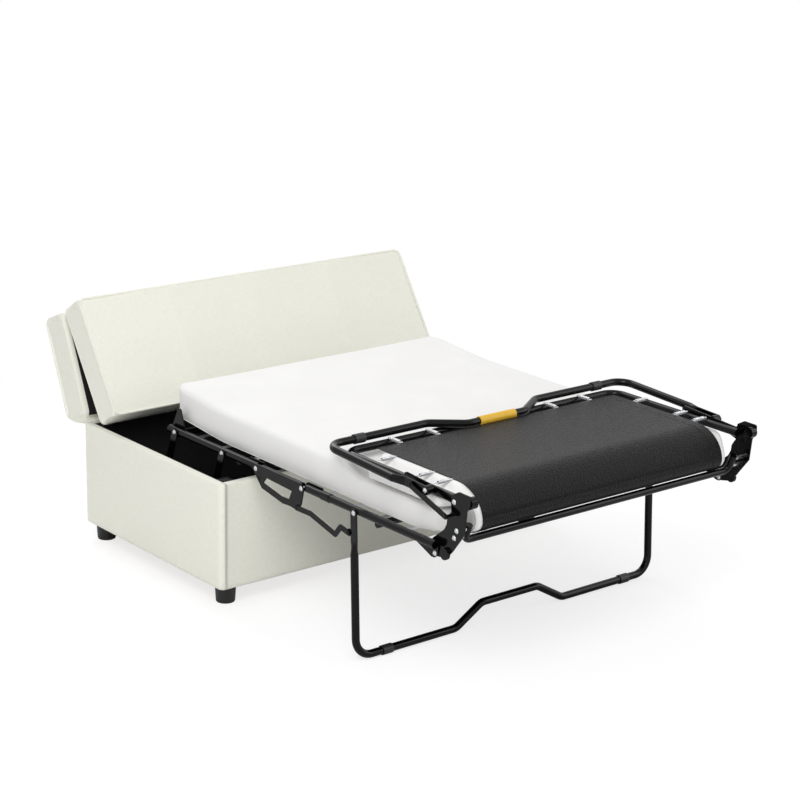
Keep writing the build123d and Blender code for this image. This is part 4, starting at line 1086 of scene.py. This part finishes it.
mattress_cuts = [
    -1,
    run_at((link_rear[1] + link_front[1]) / 2),
    run_at((link_front[1] + fold_pivot[1]) / 2),
    first_run + turn_run / 2,
    mattress_length + 1,
]
stretches = (
    ("at_head", "box", "fold_link", link_rear, 1),
    ("at_link", "fold_link", "mid_frame", link_front, 1),
    ("at_middle", "mid_frame", "hinge_link", fold_pivot, fold_reach),
    ("at_foot", "hinge_link", "foot_frame", foot_pivot, -fold_reach),
)
mattress_nodes = (
    ["mattress_head"],
    ["mattress_bend"],
    ["mattress_mid"],
    ["mattress_foot", "mattress_fold"],
)
for number, (stretch, nodes) in enumerate(zip(stretches, mattress_nodes)):
    place, before, after, pivot, reach = stretch
    picked = (face_run >= mattress_cuts[number]) & (face_run < mattress_cuts[number + 1])
    piece = cut_piece(f"mattress_{place}", whole_points, faces, uvs, picked, knit)
    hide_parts(*nodes)
    bend_over(piece)

# Deck cloth
# Black coated polypropylene webbing stretched between the rails by springs. It runs under the
# whole mattress and round the fold. Its side hems are turned in and sewn with one row of stitches.
deck_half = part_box("foot_deck")[1].x
deck_skin = 0.0012
deck_hem = 0.030
deck_step = 0.012
deck_columns = 71
deck_clear = 0.0012
stitch_gap = 0.002
pucker_height = 0.0006
pucker_pitch = 0.022
pucker_reach = 0.012
deck_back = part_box("head_deck")[1].y
deck_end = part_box("foot_deck")[1].y
deck_first_run = deck_back - fold_centre_y
deck_line = nose_line(deck_clear)
deck_turn_run = deck_line[0][-1]
deck_top_run = deck_end - fold_centre_y
deck_length = deck_first_run + deck_turn_run + deck_top_run
deck_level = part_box("mid_deck")[0].z + deck_skin / 2


def deck_places(x, run, lift):
    """The deck's places (x, y, z) at runs from its head end, lifted off its middle surface."""
    turned = run - deck_first_run
    turn = np.clip(turned / deck_turn_run, 0, 1) * math.pi
    step_down = fold_low.z - deck_clear - deck_level
    low_z = deck_level + step_down * smooth_step(-fold_ease, -ease_gap, turned)
    y = np.where(turned < 0, deck_back - run, np.interp(turned, deck_line[0], deck_line[1]))
    y = np.where(turned > deck_turn_run, fold_centre_y + turned - deck_turn_run, y)
    z = np.where(turned < 0, low_z, np.interp(turned, deck_line[0], deck_line[2]))
    return np.column_stack([x, y - lift * np.sin(turn), z - lift * np.cos(turn)])


coated, tree, shader = new_material(
    "coated_deck_cloth", Roughness=0.33, Specular_IOR_Level=0.13
)
cloth_map = add_node(tree, "ShaderNodeUVMap", uv_map="cloth")
pebble_size = 0.0042
pebbles = add_node(
    tree,
    "ShaderNodeTexNoise",
    {"Vector": cloth_map.outputs[0], "Scale": 1 / pebble_size, "Detail": 3.0, "Roughness": 0.6},
)
pebble_cells = add_node(
    tree, "ShaderNodeTexVoronoi", {"Vector": cloth_map.outputs[0], "Scale": 1 / pebble_size}
)
deck_relief = add_node(
    tree, "ShaderNodeMath", {0: pebbles.outputs[0], 1: pebble_cells.outputs[0]}, operation="ADD"
)
deck_colour = mix_colours(tree, pebbles.outputs[0], "#060606", "#121213")
# Painted shade: a line a little darker than the cloth along each side hem's row of stitches, where the
# seam value is high.
hem_shade_here = add_node(tree, "ShaderNodeAttribute", attribute_name="seam")
hem_shade_line = add_node(
    tree, "ShaderNodeMapRange", {"Value": hem_shade_here.outputs["Fac"], "From Min": 0.6, "From Max": 0.95}
)
deck_with_hem_shade = mix_colours(tree, hem_shade_line.outputs[0], deck_colour, "#050505")
tree.links.new(deck_with_hem_shade, shader.inputs["Base Color"])
roughen(tree, shader, deck_relief.outputs[0], 1.0, 0.0018)

hem_insets = (deck_hem, deck_hem - stitch_gap, deck_hem + stitch_gap, stitch_gap)
hem_places = [side * (deck_half - inset) for side in (-1, 1) for inset in hem_insets]
deck_across = np.unique(
    np.concatenate([np.linspace(-deck_half, deck_half, deck_columns), hem_places])
)
deck_cuts = [
    0,
    deck_back - (link_rear[1] + link_front[1]) / 2,
    deck_back - (link_front[1] + fold_pivot[1]) / 2,
    deck_first_run + deck_turn_run / 2,
    deck_length,
]
deck_nodes = (["head_deck"], ["fold_link_deck"], ["mid_deck"], ["foot_deck", "fold_deck"])
for number, (stretch, nodes) in enumerate(zip(stretches, deck_nodes)):
    place, before, after, pivot, reach = stretch
    first, last = deck_cuts[number], deck_cuts[number + 1]
    deck_runs = np.linspace(first, last, max(3, int((last - first) / deck_step)))
    across, along = np.meshgrid(deck_across, deck_runs, indexing="ij")
    x, run = across.ravel(), along.ravel()
    inset = deck_half - np.abs(x)
    hem_lift = deck_skin / 2 * smooth_step(
        deck_hem + stitch_gap / 2, deck_hem - stitch_gap / 2, inset
    )
    near_hem = np.exp(-(((inset - deck_hem) / pucker_reach) ** 2))
    puckers = pucker_height * np.sin(run * 2 * math.pi / pucker_pitch) * near_hem
    points = deck_places(x, run, hem_lift + puckers)
    # The stitch row's seam value, which the deck cloth paints as a line of shade.
    hem_shade = (np.abs(inset - deck_hem) < stitch_gap / 4).astype(float)
    shape_size = across.shape
    uvs = grid_uvs(*shape_size, row_places=deck_across, column_places=deck_runs)
    piece = new_piece(f"deck_{place}", points, grid_faces(*shape_size), uvs, hem_shade)
    thick = piece.modifiers.new("cloth", "SOLIDIFY")
    thick.thickness = deck_skin
    thick.offset = 0
    piece.data.materials.append(coated)
    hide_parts(*nodes)
    bend_over(piece)

# Foot springs
# Zinc-plated tension springs, wound close, that pull the foot deck out to its frame. Each has a
# loop at either end, one at the edge of the deck's hem and one at the tube.
spring_low, spring_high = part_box("foot_springs")
spring_z = (spring_low.z + spring_high.z) / 2
deck_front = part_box("foot_deck")[0].y
coil_radius = 0.0040
coil_wire = 0.00105
coil_turns = 13
turn_points = 12
wire_sides = 6
coil_lead = 0.006
loop_radius = 0.0036
loop_start = 0.0005
loop_turn = 1.53 * math.pi
loop_points = 14
spring_gap = 0.003
spring_to = spring_high.x - 0.002
side_shares = (0.25, 0.73, 0.95)
end_shares = (0.5, 0.8)
spring_run = spring_to - deck_half - spring_gap


def spring_path(run):
    """A spring's wire along +X: a loop, close turns about the axis, and a loop again."""
    turns = np.linspace(0, coil_turns, coil_turns * turn_points + 1)
    coil = np.column_stack(
        [
            coil_lead + (run - 2 * coil_lead) * turns / coil_turns,
            coil_radius * np.cos(2 * math.pi * turns),
            coil_radius * np.sin(2 * math.pi * turns),
        ]
    )
    loop = np.linspace(loop_turn, 0, loop_points)
    first = np.column_stack(
        [
            loop_start - loop_radius * np.sin(loop),
            loop_radius * np.cos(loop),
            np.zeros(loop_points),
        ]
    )
    last = np.column_stack([run - first[::-1, 0], first[::-1, 1], first[::-1, 2]])
    return np.vstack([first, coil, last])


def add_springs(name, places, body, node):
    """Springs at places (start point, way), joined into one piece."""
    tubes = []
    for number, (start, way) in enumerate(places):
        along, across, up_and_down = np.hsplit(spring_path(spring_run), 3)
        side = np.array([-way[1], way[0], 0])
        path = start + along * way + across * side + up_and_down * np.array([0, 0, 1.0])
        tubes.append(round_tube(f"{name}_{number}", path, coil_wire, wire_sides, False, zinc))
    with bpy.context.temp_override(active_object=tubes[0], selected_editable_objects=tubes):
        bpy.ops.object.join()
    tubes[0].name = name
    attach(tubes[0], body)
    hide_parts(node)


side_springs = [
    (
        np.array(
            [side * (deck_half + spring_gap), deck_end - share * (deck_end - deck_front), spring_z]
        ),
        np.array([side, 0.0, 0.0]),
    )
    for side in (-1, 1)
    for share in side_shares
]
end_springs = [
    (
        np.array([side * share * deck_half, deck_end + spring_gap, spring_z]),
        np.array([0.0, 1.0, 0.0]),
    )
    for side in (-1, 1)
    for share in end_shares
]
add_springs("foot_springs_wound", side_springs + end_springs, "foot_frame", "foot_springs")
